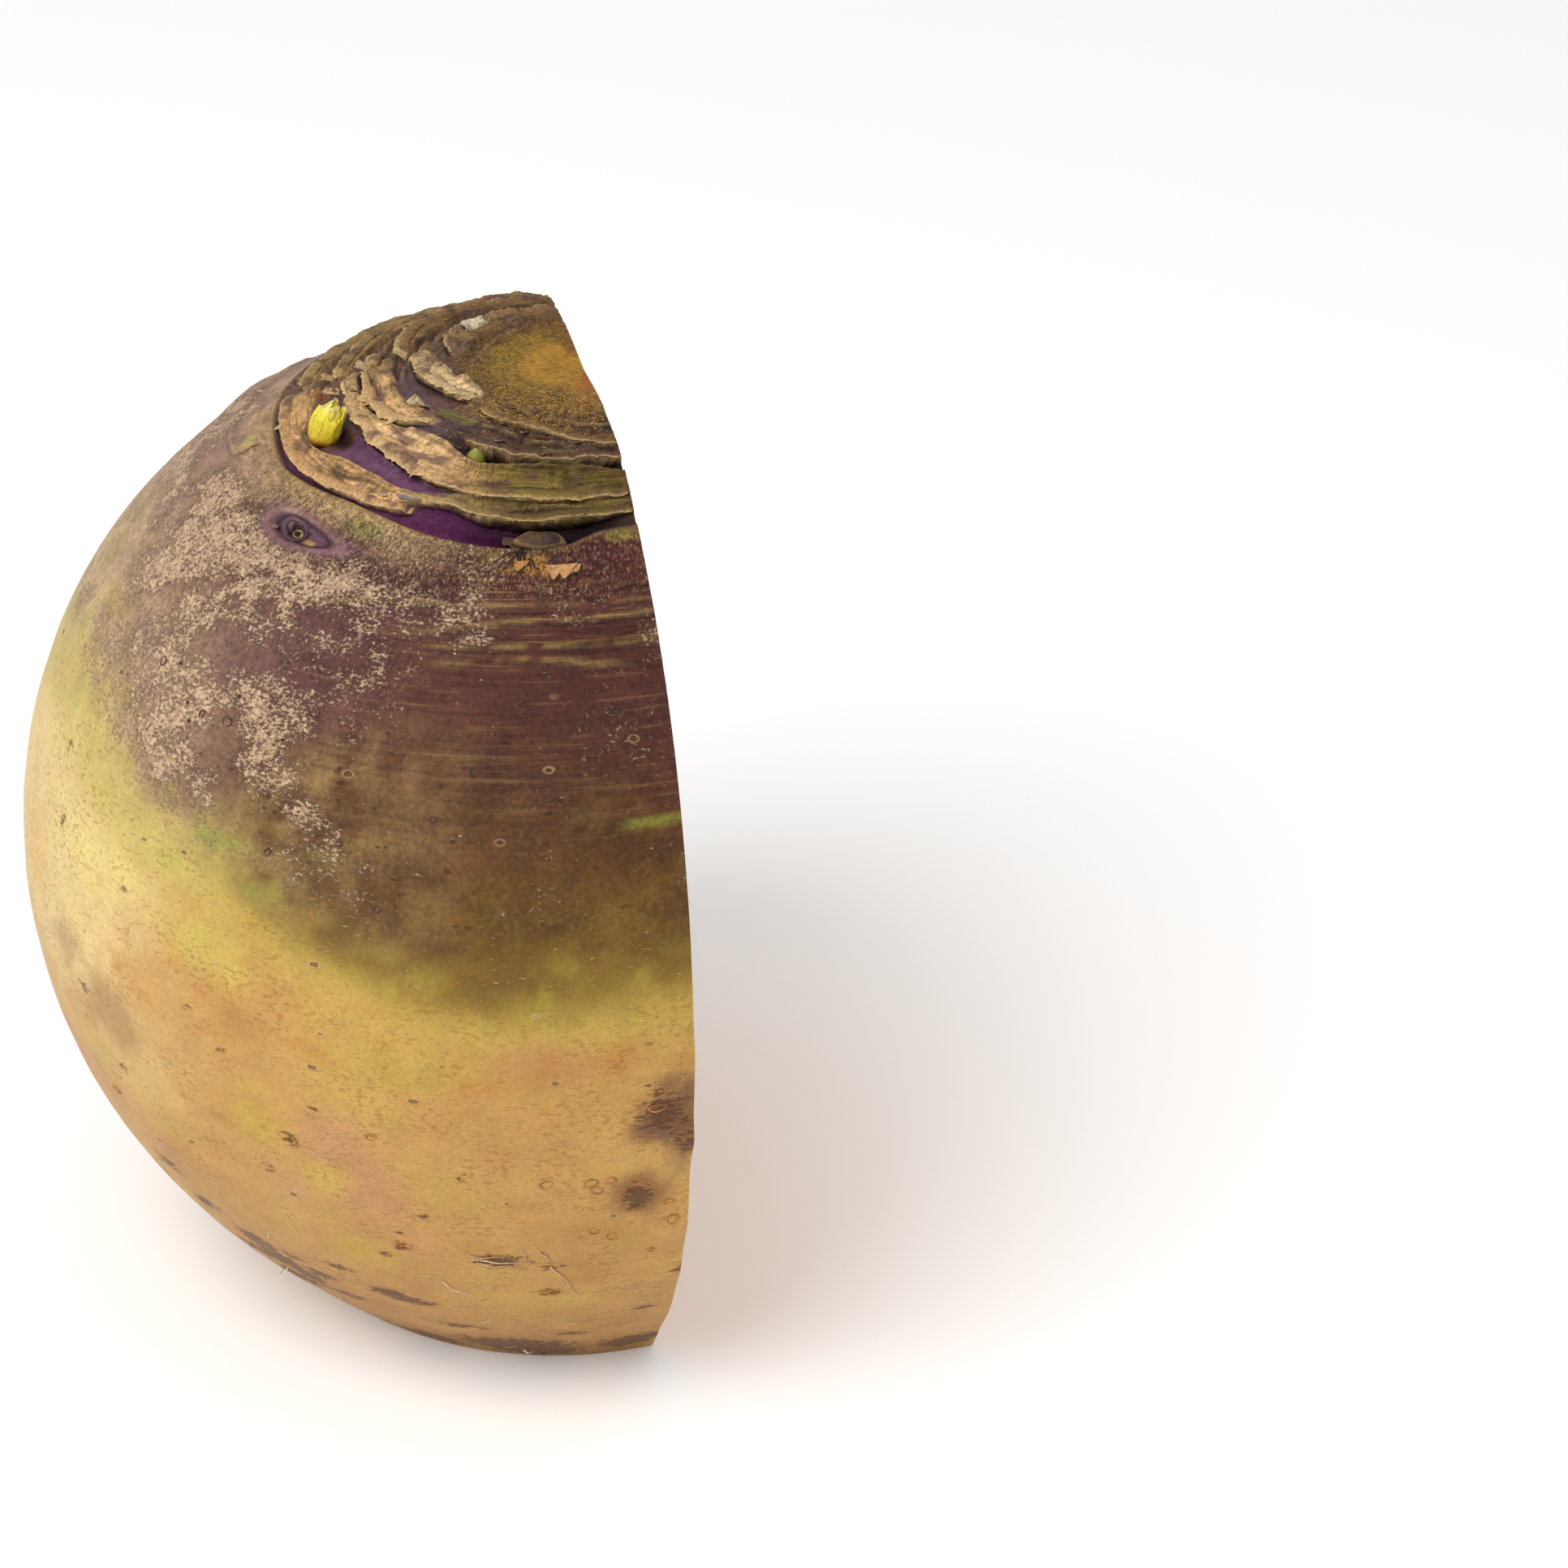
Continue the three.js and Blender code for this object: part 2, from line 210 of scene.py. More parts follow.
RIDGES = [  # thin torn edges between the scars: (turn, run) points, height and half width in mm
    ([(-8, 17.2), (20, 15.0), (50, 12.6)], 0.3, 0.22),
    ([(-8, 20.0), (14, 18.6), (34, 16.8), (60, 14.9)], 0.35, 0.2),
    ([(-8, 22.4), (5, 21.2), (20, 20.3), (40, 18.6), (58, 17.2)], 0.4, 0.22),
    ([(46, 28.9), (57, 27.8), (66, 27.0), (80, 26.1)], 0.45, 0.2),
    ([(50, 31.2), (60, 30.6), (74, 31.6)], 0.3, 0.25),
    ([(-8, 30.2), (14, 30.1), (30, 30.4), (44, 29.8)], 0.35, 0.18),
    ([(60, 34.9), (76, 35.9), (90, 36.0), (108, 35.4)], 0.4, 0.22),
    ([(66, 36.4), (84, 37.6), (100, 37.6), (120, 36.8)], 0.3, 0.25),
    ([(94, 19.4), (130, 18.2), (188, 17.8)], 0.7, 0.3),
    ([(92, 22.0), (120, 23.2), (150, 23.3), (188, 22.6)], 0.8, 0.3),
    ([(96, 27.0), (130, 28.4), (188, 27.6)], 0.8, 0.3),
    ([(80, 12.0), (120, 11.4), (160, 12.4), (188, 12.0)], 0.35, 0.3),
    ([(100, 33.9), (140, 34.4), (188, 33.4)], 0.35, 0.25),
    ([(-8, 43.2), (14, 43.2), (28, 43.4), (42, 44.1), (56, 47.0)], 0.34, 0.3),
    ([(-8, 44.8), (14, 45.0), (24, 45.4), (38, 47.8)], 0.3, 0.28),
    ([(-8, 48.1), (9, 48.2), (20, 48.2), (36, 48.8)], 0.24, 0.35),
    ([(2, 50.9), (9, 50.7), (19, 49.7), (34, 50.8)], 0.14, 0.35),
    ([(79, 46.4), (87, 43.3), (97, 41.4)], 0.16, 0.4), ([(-8, 41.2), (10, 40.8), (22, 41.0)], 0.2, 0.3),
    ([(86, 37.0), (98, 40.0), (112, 40.8), (140, 40.0)], 0.3, 0.4),
    ([(88, 44.0), (100, 45.6), (126, 45.0)], 0.25, 0.4)
]


def tapered(turn, line):
    """1 along a line of (turn, run) points, falling to 0 over 6 degrees at each of its ends."""
    start, stop = line[0][0], line[-1][0]
    return smooth(turn, start, start + 6) * (1 - smooth(turn, stop - 6, stop))


def scar_edges(number, scar, turn):
    """Runs of a scar's inner and outer edge, which wander as torn edges do, and how much of the scar
    is there, from 0 at its two ends to 1."""
    seed, torn = 40 + 7 * number, scar["torn"]
    inner = curve_at(scar["inner"], turn) + ragged(turn, seed, torn * 0.5, torn * 0.3)
    outer = curve_at(scar["outer"], turn) + ragged(turn, seed + 3, torn * 0.8, torn * 0.6)
    return inner, outer, tapered(turn, scar["outer"])


def scar_bands(turn, run):
    """Each scar as points of the skin meet it: how far they are on its band, from 0 to 1, their share
    of the way across it, how many mm they are past its outer edge, and its fading ends."""
    for number, (name, scar) in enumerate(SCARS.items()):
        inner, outer, ends = scar_edges(number, scar, turn)
        on = smooth(run, inner - 0.3, inner + 0.1) * (1 - smooth(run, outer, outer + 0.25)) * ends
        across = np.clip((run - inner) / np.maximum(outer - inner, 0.2), 0, 1)
        yield SimpleNamespace(number=number, name=name, height=scar["height"], on=on, across=across,
                              past=run - outer, ends=ends)


def torn_ridges(turn, run):
    """Each thin torn edge as points of the skin meet it: how many mm they are past its middle, how
    much of it stands, its height and half width, and the run where it starts."""
    for number, (line, height, wide) in enumerate(RIDGES):
        middle = curve_at(line, turn) + ragged(turn, 300 + 5 * number, 0.3, 0.15)
        stands = tapered(turn, line) * smooth(cloud(turn / 3.5, 0 * run, 330 + number), -0.55, 0.0)
        yield run - middle, stands, height, wide, line[0][1]


def spot(turn, run, at_turn, at_run, wide, tall):
    """Distance from a point of the skin, over the spot's half sizes round and down the root."""
    across = np.radians(turn - at_turn) * np.interp(run, RUN, RADIUS) * SPREAD
    return np.hypot(across / wide, (run - at_run) / tall)


KNOBS = [  # turn, run, half width, height, all in degrees and mm
    (0, 99, 5.0, 0.6), (0, 109.6, 2.2, 0.95), (0, 116.2, 2.8, -0.5), (0, 124.5, 3.6, 0.45),
    (0, 135, 4.0, 0.4), (0, 155, 5.0, -0.25), (21, 38.6, 3.0, 0.5), (5, 105, 4.0, 0.35),
    (6, 118.4, 2.2, 0.3), (180, 126, 3.5, 1.1), (176, 134.5, 3.2, 1.2), (180, 143, 3.4, 1.0),
    (128, 44, 4.5, 0.8)
]
SWELLS = [  # broad waves of the flank: height in mm, waves round the root and down it, phase
    (0.3, 2, 1.5, 0.4), (0.25, 3, 2.5, 2.1), (0.15, 5, 3.5, 4.4)]
HOLLOWS = [  # pits beside the bud and in the crown: (turn, run, half sizes in mm), softness, depth in mm
    ((79, 28.2, 2.4, 1.3), 0.9, 1.3), ((103, 28.6, 1.3, 0.9), 0.8, 1.0), ((93, 13.4, 1.2, 0.6), 0.9, 0.9)]
EYE_TURN, EYE_RUN = 62.8, 39.75
EYE_PIT = (64.8, 39.75, 1.7, 1.15)  # turn, run, half sizes round and down in mm


def eye_scar(turn, run):
    """Distance from the middle of the sleeping eye, over its lens-shaped rim, and from its pit's."""
    across = np.radians(turn - EYE_TURN) * np.interp(run, RUN, RADIUS) * 1.1
    rim = np.hypot(across / 5.3, (run - EYE_RUN) / (1.5 + 0.08 * np.clip(across, -5, 5)))
    return rim, spot(turn, run, *EYE_PIT)


def crevice(turn, run):
    """1 in the deep fold above the olive ledge and 0 outside it."""
    low = curve_at(SCARS["dark rim"]["outer"], turn) + 0.25
    high = curve_at(SCARS["olive ledge"]["inner"], turn) - 0.15
    return band(run, low, high, 0.22) * (1 - smooth(turn, 40, 54))


def deep_groove(turn, run):
    """1 in the fold where the stem meets the swollen root, 0 outside it, and its depth in mm."""
    low = curve_at(SCARS["bud ledge"]["outer"], turn) + 0.2
    low = np.where(turn < 48, curve_at(SCARS["thin ledge"]["outer"], turn) + 0.2, low)
    high = curve_at(SHOULDER, turn) - 0.1
    depth = 0.55 + 1.5 * band(turn, 7, 34, 7) + 0.35 * band(turn, 30, 50, 5)
    return band(run, low, high, 0.25) * (1 - smooth(turn, 92, 110)), depth


def violet_strip(turn, run):
    """1 on the smooth stem skin between the olive ledge and the bud ledge, and the share across it."""
    low = curve_at(SCARS["olive ledge"]["outer"], turn) + 0.5
    high = np.maximum(curve_at(SCARS["bud ledge"]["inner"], turn), low + 0.5)
    on = band(run, low, high, 0.25) * band(turn, 42, 100, 5)
    return on, np.clip((run - low) / (high - low), 0, 1)


def crown_relief(turn, run):
    """Lift of the leaf scars, channels and shoulder of the crown, and the push that makes lips hang
    over: each scar is a raised band with a thin torn lip, and the folds between are scooped out."""
    lift = -0.45 * band(run, 13.5, 34.0, 1.0)
    push = np.zeros(lift.shape)
    for scar in scar_bands(turn, run):
        tear = 0.85 + 0.35 * cloud(turn / 5, run / 4, 200 + scar.number)
        profile = 0.62 + 0.22 * (1 - smooth(scar.across, 0.0, 0.25)) + 0.2 * smooth(scar.across, 0.45, 1.0)
        creases = 0.16 * cloud(turn / 16, run / 0.55, 230 + scar.number, 3)
        creases = creases + 0.1 * cloud(turn / 1.6, run / 3, 250, 3)
        uneven = 0.6 + 0.4 * cloud(turn / 3, 0 * run, 260 + scar.number)
        rim = 0.28 * hump(scar.past + 0.22, 0.24) * scar.ends * uneven
        lift = lift + scar.on * (scar.height * profile * tear + creases) + rim
        lip = smooth(scar.past, -1.0, 0.0) * (1 - smooth(scar.past, 0.05, 0.5)) * scar.ends
        push = push + 0.6 * lip * tear
    for past, stands, height, wide, _ in torn_ridges(turn, run):
        lift = lift + height * hump(past, wide) * stands
    lift = lift - 1.7 * crevice(turn, run)
    groove, depth = deep_groove(turn, run)
    lift = lift - depth * groove
    on, share = violet_strip(turn, run)
    lift = lift + on * (0.45 * np.sin(np.pi * share) - 0.35)
    for hollow, wide, deep in HOLLOWS:
        lift = lift - deep * hump(spot(turn, run, *hollow), wide)
    past = run - curve_at(SHOULDER, turn)
    swell = 0.45 + 0.25 * hump(turn - 20, 22)
    lift = lift + swell * smooth(past, -0.15, 0.25) * np.exp(-np.maximum(past, 0) / 3.5)
    worn = 1 - 0.5 * np.maximum(hump(turn, 4), hump(180 - turn, 4))
    return lift * worn, push * worn


def flank_relief(turn, run):
    """Lift of the swollen root: broad waves, scabby knobs, the sleeping eye, and fine ring wrinkles."""
    radius = np.interp(run, RUN, RADIUS)
    lift = np.zeros(np.broadcast(turn, run).shape)
    for at_turn, at_run, wide, height in KNOBS:
        across = np.radians(turn - at_turn) * radius
        lift = lift + height * hump(np.hypot(across, run - at_run), wide)
    for height, waves, down, phase in SWELLS:
        wave = np.cos(waves * np.radians(turn) + phase) * np.sin(down * np.pi * run / RUN_END + phase)
        lift = lift + smooth(run, 9, 58.5) * height * wave
    eye, pit = eye_scar(turn, run)
    lift = lift + 0.45 * hump(eye - 1.1, 0.28) - 0.4 * hump(eye, 0.85)
    lift = lift + 0.3 * hump(pit - 1, 0.3) - 1.0 * hump(pit, 0.6)
    wrinkled = band(run, 36, 62, 4) * (0.35 + 0.65 * (1 - smooth(turn, 25, 60)))
    lift = lift + 0.13 * wrinkled * cloud(turn / 16, run / 0.9, 71, 3)
    return lift + 0.10 * smooth(run, 34, 44) * cloud(turn / 4, run / 3.5, 81, 3)


def shade(red, green, blue):
    """A colour seen as red, green, blue from 0 to 255, as linear light from 0 to 1."""
    c = np.array([red, green, blue], float) / 255
    return np.where(c <= 0.04045, c / 12.92, ((c + 0.055) / 1.055) ** 2.4)


def paint(tone, colour, amount):
    """Lays a colour over the tones, from none of it at amount 0 to only it at amount 1."""
    return tone + (colour - tone) * np.clip(amount, 0, 1)[..., None]


def painted(tone, coats):
    """Lays coats of (red, green, blue) and an amount over the tones, one after another."""
    for colour, amount in coats:
        tone = paint(tone, shade(*colour), amount)
    return tone


def stained(tone, stains, turn, run, ripple, low, high, share=1.0):
    """Lays soft spots of (turn, run, half sizes round and down in mm, colour, strength) over the tones:
    each is whole nearer than low half sizes, and gone past high, with an edge that ripples."""
    for at_turn, at_run, wide, tall, colour, strength in stains:
        away = spot(turn, run, at_turn, at_run, wide, tall) + ripple
        tone = paint(tone, shade(*colour), strength * (1 - smooth(away, low, high)) * share)
    return tone


def gradient(x, stops):
    """Colour at x between stops of (x, red, green, blue)."""
    at = [s[0] for s in stops]
    colours = np.array([shade(*s[1:]) for s in stops])
    return np.stack([np.interp(x, at, colours[:, k]) for k in range(3)], -1)


PURPLE_ENDS = [  # turn, run where the purple skin ends
    (-8, 70), (0, 69.6), (10, 67.6), (22, 66), (34, 65.5), (48, 69.5), (56, 72.5), (64, 72.5), (72, 67),
    (80, 60.5), (92, 57), (110, 60), (135, 70), (160, 77), (188, 79)
]
YELLOW_STARTS = [  # turn, run where the yellow skin starts
    (-8, 88), (1, 88.5), (10, 90), (22, 92), (33, 88.5), (39, 85), (46, 82), (54, 79.5), (62, 79), (70, 77),
    (78, 73.5), (90, 73), (110, 78), (140, 86), (160, 90), (188, 92)
]
BLOTCHES = [  # turn, run, half sizes round and down in mm, colour, strength: soft stains of the yellow skin
    (3.0, 105.5, 4.6, 5.4, (118, 80, 60), 0.9), (0.5, 109, 3.5, 5.5, (118, 82, 58), 0.7),
    (6, 118.5, 3.2, 4.4, (140, 98, 56), 0.75), (66, 104, 9, 6, (166, 126, 78), 0.6),
    (74, 99, 5, 3, (160, 118, 84), 0.5), (39, 112, 5, 5.5, (194, 142, 100), 0.65),
    (35, 119, 5, 9, (194, 140, 98), 0.65), (45, 121, 4.5, 6, (196, 146, 98), 0.5),
    (31, 128, 5, 4, (196, 142, 94), 0.5), (14, 97.5, 8, 3, (190, 132, 84), 0.55),
    (47, 110, 5, 5, (196, 164, 74), 0.6), (40, 117, 3.5, 3.5, (196, 166, 76), 0.6),
    (38, 131.5, 5, 4, (192, 158, 66), 0.6), (26, 118, 6, 4, (192, 158, 78), 0.5),
    (78, 120, 10, 9, (192, 142, 92), 0.5), (68, 84, 14, 5, (222, 200, 122), 0.6),
    (110, 112, 9, 8, (192, 140, 92), 0.5), (150, 112, 7, 9, (192, 138, 90), 0.5),
    (130, 128, 9, 5, (166, 128, 72), 0.5), (60, 97, 6, 5, (196, 148, 80), 0.55),
    (2, 151, 6, 9, (184, 136, 72), 0.5), (55, 130, 10, 6, (186, 144, 80), 0.5),
    (22, 108, 12, 7, (190, 142, 82), 0.45), (52, 88, 8, 4, (198, 178, 84), 0.6),
    (30, 99, 9, 3.5, (184, 156, 74), 0.5), (84, 92, 5, 8, (214, 170, 100), 0.5),
    (71, 112, 5, 4, (196, 166, 80), 0.5), (60, 118, 5, 3, (196, 162, 78), 0.5),
    (64, 124, 4, 3, (176, 134, 96), 0.5), (20, 140, 10, 3, (196, 160, 74), 0.5),
    (8, 128, 5, 5, (188, 146, 78), 0.5)
]
FLECKS = [  # the same for small patches of the purple skin
    (72, 53.0, 1.2, 1.4, (164, 156, 76), 0.8), (90, 66.0, 1.0, 2.4, (176, 170, 86), 0.7),
    (82, 70.5, 1.2, 2.4, (180, 176, 88), 0.6), (80, 51.5, 0.8, 0.9, (168, 160, 76), 0.7),
    (53, 75.6, 4.2, 1.2, (146, 146, 70), 0.75), (39, 74.4, 3.4, 0.7, (140, 134, 58), 0.7),
    (58, 80.0, 3.6, 1.0, (176, 168, 76), 0.7), (46, 80.0, 3.2, 1.4, (150, 140, 66), 0.6),
    (81, 41.0, 0.5, 3.2, (172, 142, 84), 0.9), (3, 69.3, 5.5, 0.8, (140, 140, 52), 0.75),
    (85, 61, 2.5, 5, (176, 142, 98), 0.5), (76, 46, 2.0, 1.2, (168, 140, 92), 0.6),
    (64, 67, 3, 2, (168, 136, 96), 0.5)
]
SCABS = [  # turn, run, half sizes round and down in mm, strength: brown corky spots and streaks
    (3.5, 105.5, 4.6, 4.6, 0.7), (0.5, 110, 2.6, 3.4, 0.7), (6, 118.4, 2.3, 3.0, 0.9),
    (3.9, 144.7, 2.0, 1.0, 0.8), (0, 134.6, 1.6, 1.4, 0.8), (25, 158, 9, 4.0, 1.0), (22, 160.8, 7, 3.6, 1.0),
    (5, 159.5, 6, 3.2, 0.9), (22.3, 130, 4.2, 1.8, 0.8), (57.5, 138.6, 3.6, 2.2, 1.0),
    (55.5, 142, 3.8, 2.4, 1.0), (52.5, 144.6, 2.8, 2.2, 1.0), (52, 138.8, 2.4, 1.3, 0.75),
    (49, 141.8, 2.8, 1.6, 0.85), (57, 148, 4, 2.6, 1.0), (39, 142, 3.0, 1.6, 1.0),
    (36.5, 142.8, 3.4, 1.4, 1.0), (33.5, 143.1, 1.4, 1.0, 0.8), (41, 161, 6, 3, 0.9),
    (33.2, 128.3, 1.8, 1.2, 0.8), (36, 130.6, 1.8, 0.8, 0.7), (17, 137.6, 2.2, 1.0, 0.7),
    (16.5, 131.4, 2.6, 1.2, 0.6), (43, 112, 1.7, 1.5, 0.7), (47, 118, 1.2, 1.6, 0.6),
    (40, 106.6, 1.3, 1.0, 0.6), (25, 114.5, 0.9, 0.8, 0.8), (33, 125.3, 0.8, 0.8, 0.8),
    (30, 122, 1.3, 0.8, 0.7), (34, 109.1, 1.0, 0.8, 0.6), (24, 106.1, 0.7, 0.6, 0.6),
    (10.4, 116, 3.2, 1.4, 0.4), (75, 134, 5, 2, 0.8), (84, 148, 6, 2, 0.8), (96, 136, 4, 2, 0.7),
    (68, 152, 8, 3, 0.95), (66, 128, 3, 1.5, 0.8), (104, 158, 9, 2.4, 0.85), (112, 124, 1.6, 1.2, 0.6),
    (120, 140, 4, 1.6, 0.7), (133, 152, 6, 2, 0.8), (148, 138, 3, 1.5, 0.7), (160, 150, 6, 2.4, 0.8),
    (172, 128, 3.2, 3.6, 0.8), (178, 137, 3, 3, 0.8), (165, 104, 2.2, 1.8, 0.6), (63, 134, 3.0, 1.6, 0.9),
    (60, 143, 3.6, 1.8, 0.95), (48, 147, 4.0, 1.4, 0.85), (31, 150, 4.5, 1.2, 0.8),
    (15, 152, 3.5, 1.1, 0.75), (44, 137, 2.6, 1.0, 0.8), (71, 103, 1.6, 1.4, 0.65),
    (66, 112, 1.4, 1.2, 0.65), (54, 97, 1.2, 1.0, 0.6), (77, 84, 1.2, 1.3, 0.65), (80, 76, 1.1, 1.2, 0.65),
    (50, 101, 1.0, 0.8, 0.6), (128, 108, 1.2, 1.2, 0.6), (92, 112, 1.2, 1.4, 0.6), (88, 98, 1.4, 0.9, 0.5),
    (20, 92, 0.9, 0.7, 0.5), (8, 100.5, 4.5, 0.7, 0.5), (63, 92, 1.2, 0.8, 0.5), (5, 95.5, 0.9, 1.3, 0.5)
]


def flank_tones(turn, run):
    """Purple skin above, through brown and olive to yellow-green, and golden skin below with pink and
    yellow patches. Also returns how far below the yellow skin's upper edge each point is."""
    wander = 1.7 * cloud(turn / 9, run / 12, 301) + 0.8 * cloud(turn / 2.5, run / 4, 311)
    above, start = curve_at(PURPLE_ENDS, turn), curve_at(YELLOW_STARTS, turn)
    share = (run + wander - above) / (start - above)
    below = run + wander - start
    tone = gradient(share, [
        (-9, 122, 80, 60), (-2, 103, 61, 47), (-0.9, 93, 51, 35), (-0.3, 88, 48, 29), (0.1, 92, 57, 26),
        (0.45, 100, 68, 27), (0.72, 112, 82, 30), (0.92, 134, 104, 40), (1.1, 168, 134, 58)])
    golden = gradient(below, [(0, 184, 156, 76), (3, 190, 156, 80), (8, 192, 148, 80), (20, 196, 150, 85),
                              (45, 193, 147, 82), (80, 180, 134, 70)])
    tone = paint(tone, golden, smooth(below, -2.5, 5))
    mottled = cloud(turn / 12, run / 14, 331)
    fine = cloud(turn / 2.6, run / 3, 341)
    streaky = cloud(turn / 9, run / 1.8, 343)
    purple = 1 - smooth(share, -0.4, 0.4)
    weathered = np.clip(smooth(turn, 44, 72) * smooth(run, 42, 62) + 0.6 * smooth(turn, 74, 92), 0, 1)
    greener = smooth(share, 0.1, 0.7) * (1 - smooth(share, 1.1, 1.6))
    dusk = band(share, -0.3, 0.9, 0.2)
    yellow = smooth(below, 0, 7)
    glow = hump(below + 0.5, 4.5) * (0.15 + 0.85 * smooth(fine + 0.6 * mottled, 0.0, 0.6))
    pale = smooth(turn, 48, 70) * (1 - 0.5 * smooth(turn, 110, 140))
    pale = pale * (1 - smooth(run + 10 * mottled, 88, 124))
    tone = painted(tone, [
        ((80, 42, 38), purple * 0.6 * smooth(mottled + 0.5 * fine + 0.4 * streaky, 0.0, 0.8)),
        ((134, 96, 68), purple * 0.4 * smooth(-mottled + 0.6 * fine, 0.0, 0.8)),
        ((86, 39, 36), purple * 0.6 * (1 - smooth(turn, 16, 36)) * band(run, 36, 56, 6)),
        ((196, 162, 130), weathered * 0.78 * (1 - smooth(share, 0.3, 0.9))),
        ((206, 182, 108), 0.85 * smooth(turn, 44, 60) * greener),
        ((71, 37, 31), purple * 0.45 * (1 - smooth(turn, 18, 34)) * smooth(run, 38, 44)),
        ((96, 60, 68), purple * 0.55 * hump(turn - 50, 16) * (1 - smooth(run, 56, 66))),
        ((190, 156, 118), 0.7 * smooth(turn, 78, 90) * band(run, 50, 66, 6) * smooth(fine + 0.6, -0.2, 0.5)),
        ((132, 92, 90), purple * weathered * 0.65 * smooth(fine + 0.7 * mottled, -0.1, 0.5)),
        ((172, 148, 86), dusk * 0.7 * smooth(turn, 30, 48) * smooth(fine + 0.5 * streaky, -0.6, 0.8)),
        ((144, 110, 72), 0.6 * band(turn, 26, 46, 5) * band(run, 60, 84, 6)
         * smooth(0.6 * fine + 0.6 * mottled, -0.7, 0.4)),
        ((122, 102, 46), dusk * 0.22 * (1 - smooth(turn, 34, 50)) * smooth(fine + streaky, 0.1, 0.7)),
        ((84, 58, 38), dusk * 0.45 * (1 - smooth(turn, 44, 58)) * smooth(-fine - streaky, 0.1, 0.8)),
        ((176, 162, 66), glow * 0.42),
        ((172, 122, 62), yellow * 0.45 * smooth(mottled + 0.5 * streaky + 0.3 * fine, 0.1, 0.8)),
        ((198, 164, 84), yellow * 0.45 * smooth(-mottled + 0.5 * fine, 0.1, 0.7)),
        ((228, 202, 140), yellow * 0.75 * pale)])
    ripple = 0.5 * cloud(turn / 4, run / 4, 361) + 0.25 * cloud(turn / 1.6, run / 1.6, 363)
    tone = stained(tone, BLOTCHES, turn, run, ripple, 0.3, 1.25, yellow + 0.15)
    tone = stained(tone, FLECKS, turn, run, 0.8 * ripple, 0.4, 1.2)
    rusty = smooth(cloud(turn / 4, run / 2.4, 353), 0.3, 0.7) * (0.35 + 0.65 * hump(run - 98, 9))
    tone = painted(tone, [
        ((190, 124, 58), yellow * 0.45 * rusty),
        ((164, 116, 56), 0.5 * smooth(run, 140, 164) * smooth(mottled + fine, -0.5, 0.5))])
    return tone, below


def scabs(turn, run):
    """How deep inside a scab each point is: 1 at its middle and 0 from its rim on, times its strength."""
    field = np.zeros(turn.shape)
    for at_turn, at_run, wide, tall, amount in SCABS:
        inside = 1 - spot(turn, run, at_turn, at_run, wide * 1.5, tall * 1.5)
        field = np.maximum(field, amount * np.clip(inside, 0, 1))
    return field


SCAR_COLOURS = {  # stops of turn, red, green, blue
    "inner rim": [(0, 124, 94, 56), (40, 150, 118, 76)], "dark rim": [(0, 96, 68, 50), (40, 104, 76, 60)],
    "cream crescent": [(64, 206, 180, 138), (118, 190, 162, 120)],
    "torn leaf": [(58, 202, 168, 122), (98, 194, 158, 112), (118, 172, 144, 98)],
    "olive ledge": [(0, 118, 94, 44), (30, 140, 118, 56), (39, 180, 145, 98), (52, 210, 175, 130),
                    (94, 200, 164, 118), (112, 168, 140, 96)],
    "thin ledge": [(0, 110, 90, 40), (25, 110, 90, 42), (46, 180, 152, 104)],
    "bud ledge": [(44, 204, 164, 118), (98, 196, 156, 108), (112, 168, 142, 94)],
    "far inner": [(108, 158, 128, 88), (188, 134, 104, 68)],
    "far middle": [(110, 150, 118, 78), (188, 128, 98, 62)],
    "far ledge": [(104, 170, 142, 94), (188, 140, 112, 72)],
    "far outer": [(108, 168, 142, 92), (188, 142, 116, 74)]
}
CROWN_SPOTS = [  # turn, run, half sizes round and down in mm, colour, strength
    (3, 34.9, 4.0, 1.1, (140, 122, 62), 0.8), (52, 36.6, 3.0, 1.5, (150, 142, 74), 0.7),
    (15.2, 39.4, 2.2, 0.8, (182, 134, 90), 0.9), (21, 38.4, 3.2, 1.7, (176, 126, 60), 0.85),
    (27, 37.6, 2.6, 1.4, (140, 118, 58), 0.7), (8, 37.5, 3.0, 2.0, (100, 56, 58), 0.6),
    (96.5, 38.0, 1.4, 1.8, (182, 168, 96), 0.75), (103, 28.6, 1.6, 1.2, (170, 108, 62), 0.8),
    (93, 13.4, 1.1, 0.6, (112, 108, 54), 0.9), (57, 31.8, 1.0, 0.7, (92, 76, 36), 0.85),
    (61, 17.9, 3.4, 1.1, (126, 120, 64), 0.8), (4, 27.3, 2.2, 0.9, (128, 114, 56), 0.5),
    (24, 26.3, 2.2, 1.2, (132, 112, 56), 0.5), (33, 27.5, 2.2, 0.9, (100, 74, 70), 0.7),
    (13, 27.0, 1.6, 1.2, (98, 76, 54), 0.6), (4, 30.0, 2.4, 0.7, (132, 116, 54), 0.5),
    (35, 30.2, 2.0, 0.7, (146, 126, 72), 0.5), (90, 11.0, 3.0, 2.0, (150, 124, 60), 0.5),
    (76, 35.6, 3.0, 0.8, (150, 136, 84), 0.6), (88, 36.8, 2.0, 1.6, (150, 132, 88), 0.5),
    (142, 17.0, 3.6, 1.0, (196, 176, 142), 0.8), (36, 36.8, 2.2, 1.0, (160, 136, 96), 0.5)
]
# Painted shade: where the hollow beside the big bud is laid dark brown.
HOLLOW_SHADE = (80, 28.2, 2.2, 1.2)  # turn, run, half sizes round and down in mm
CRACKED_PATCH = (21, 37.6, 5.0, 2.6)
EYE_GLINT = (60.6, 40.3, 1.0, 0.45)


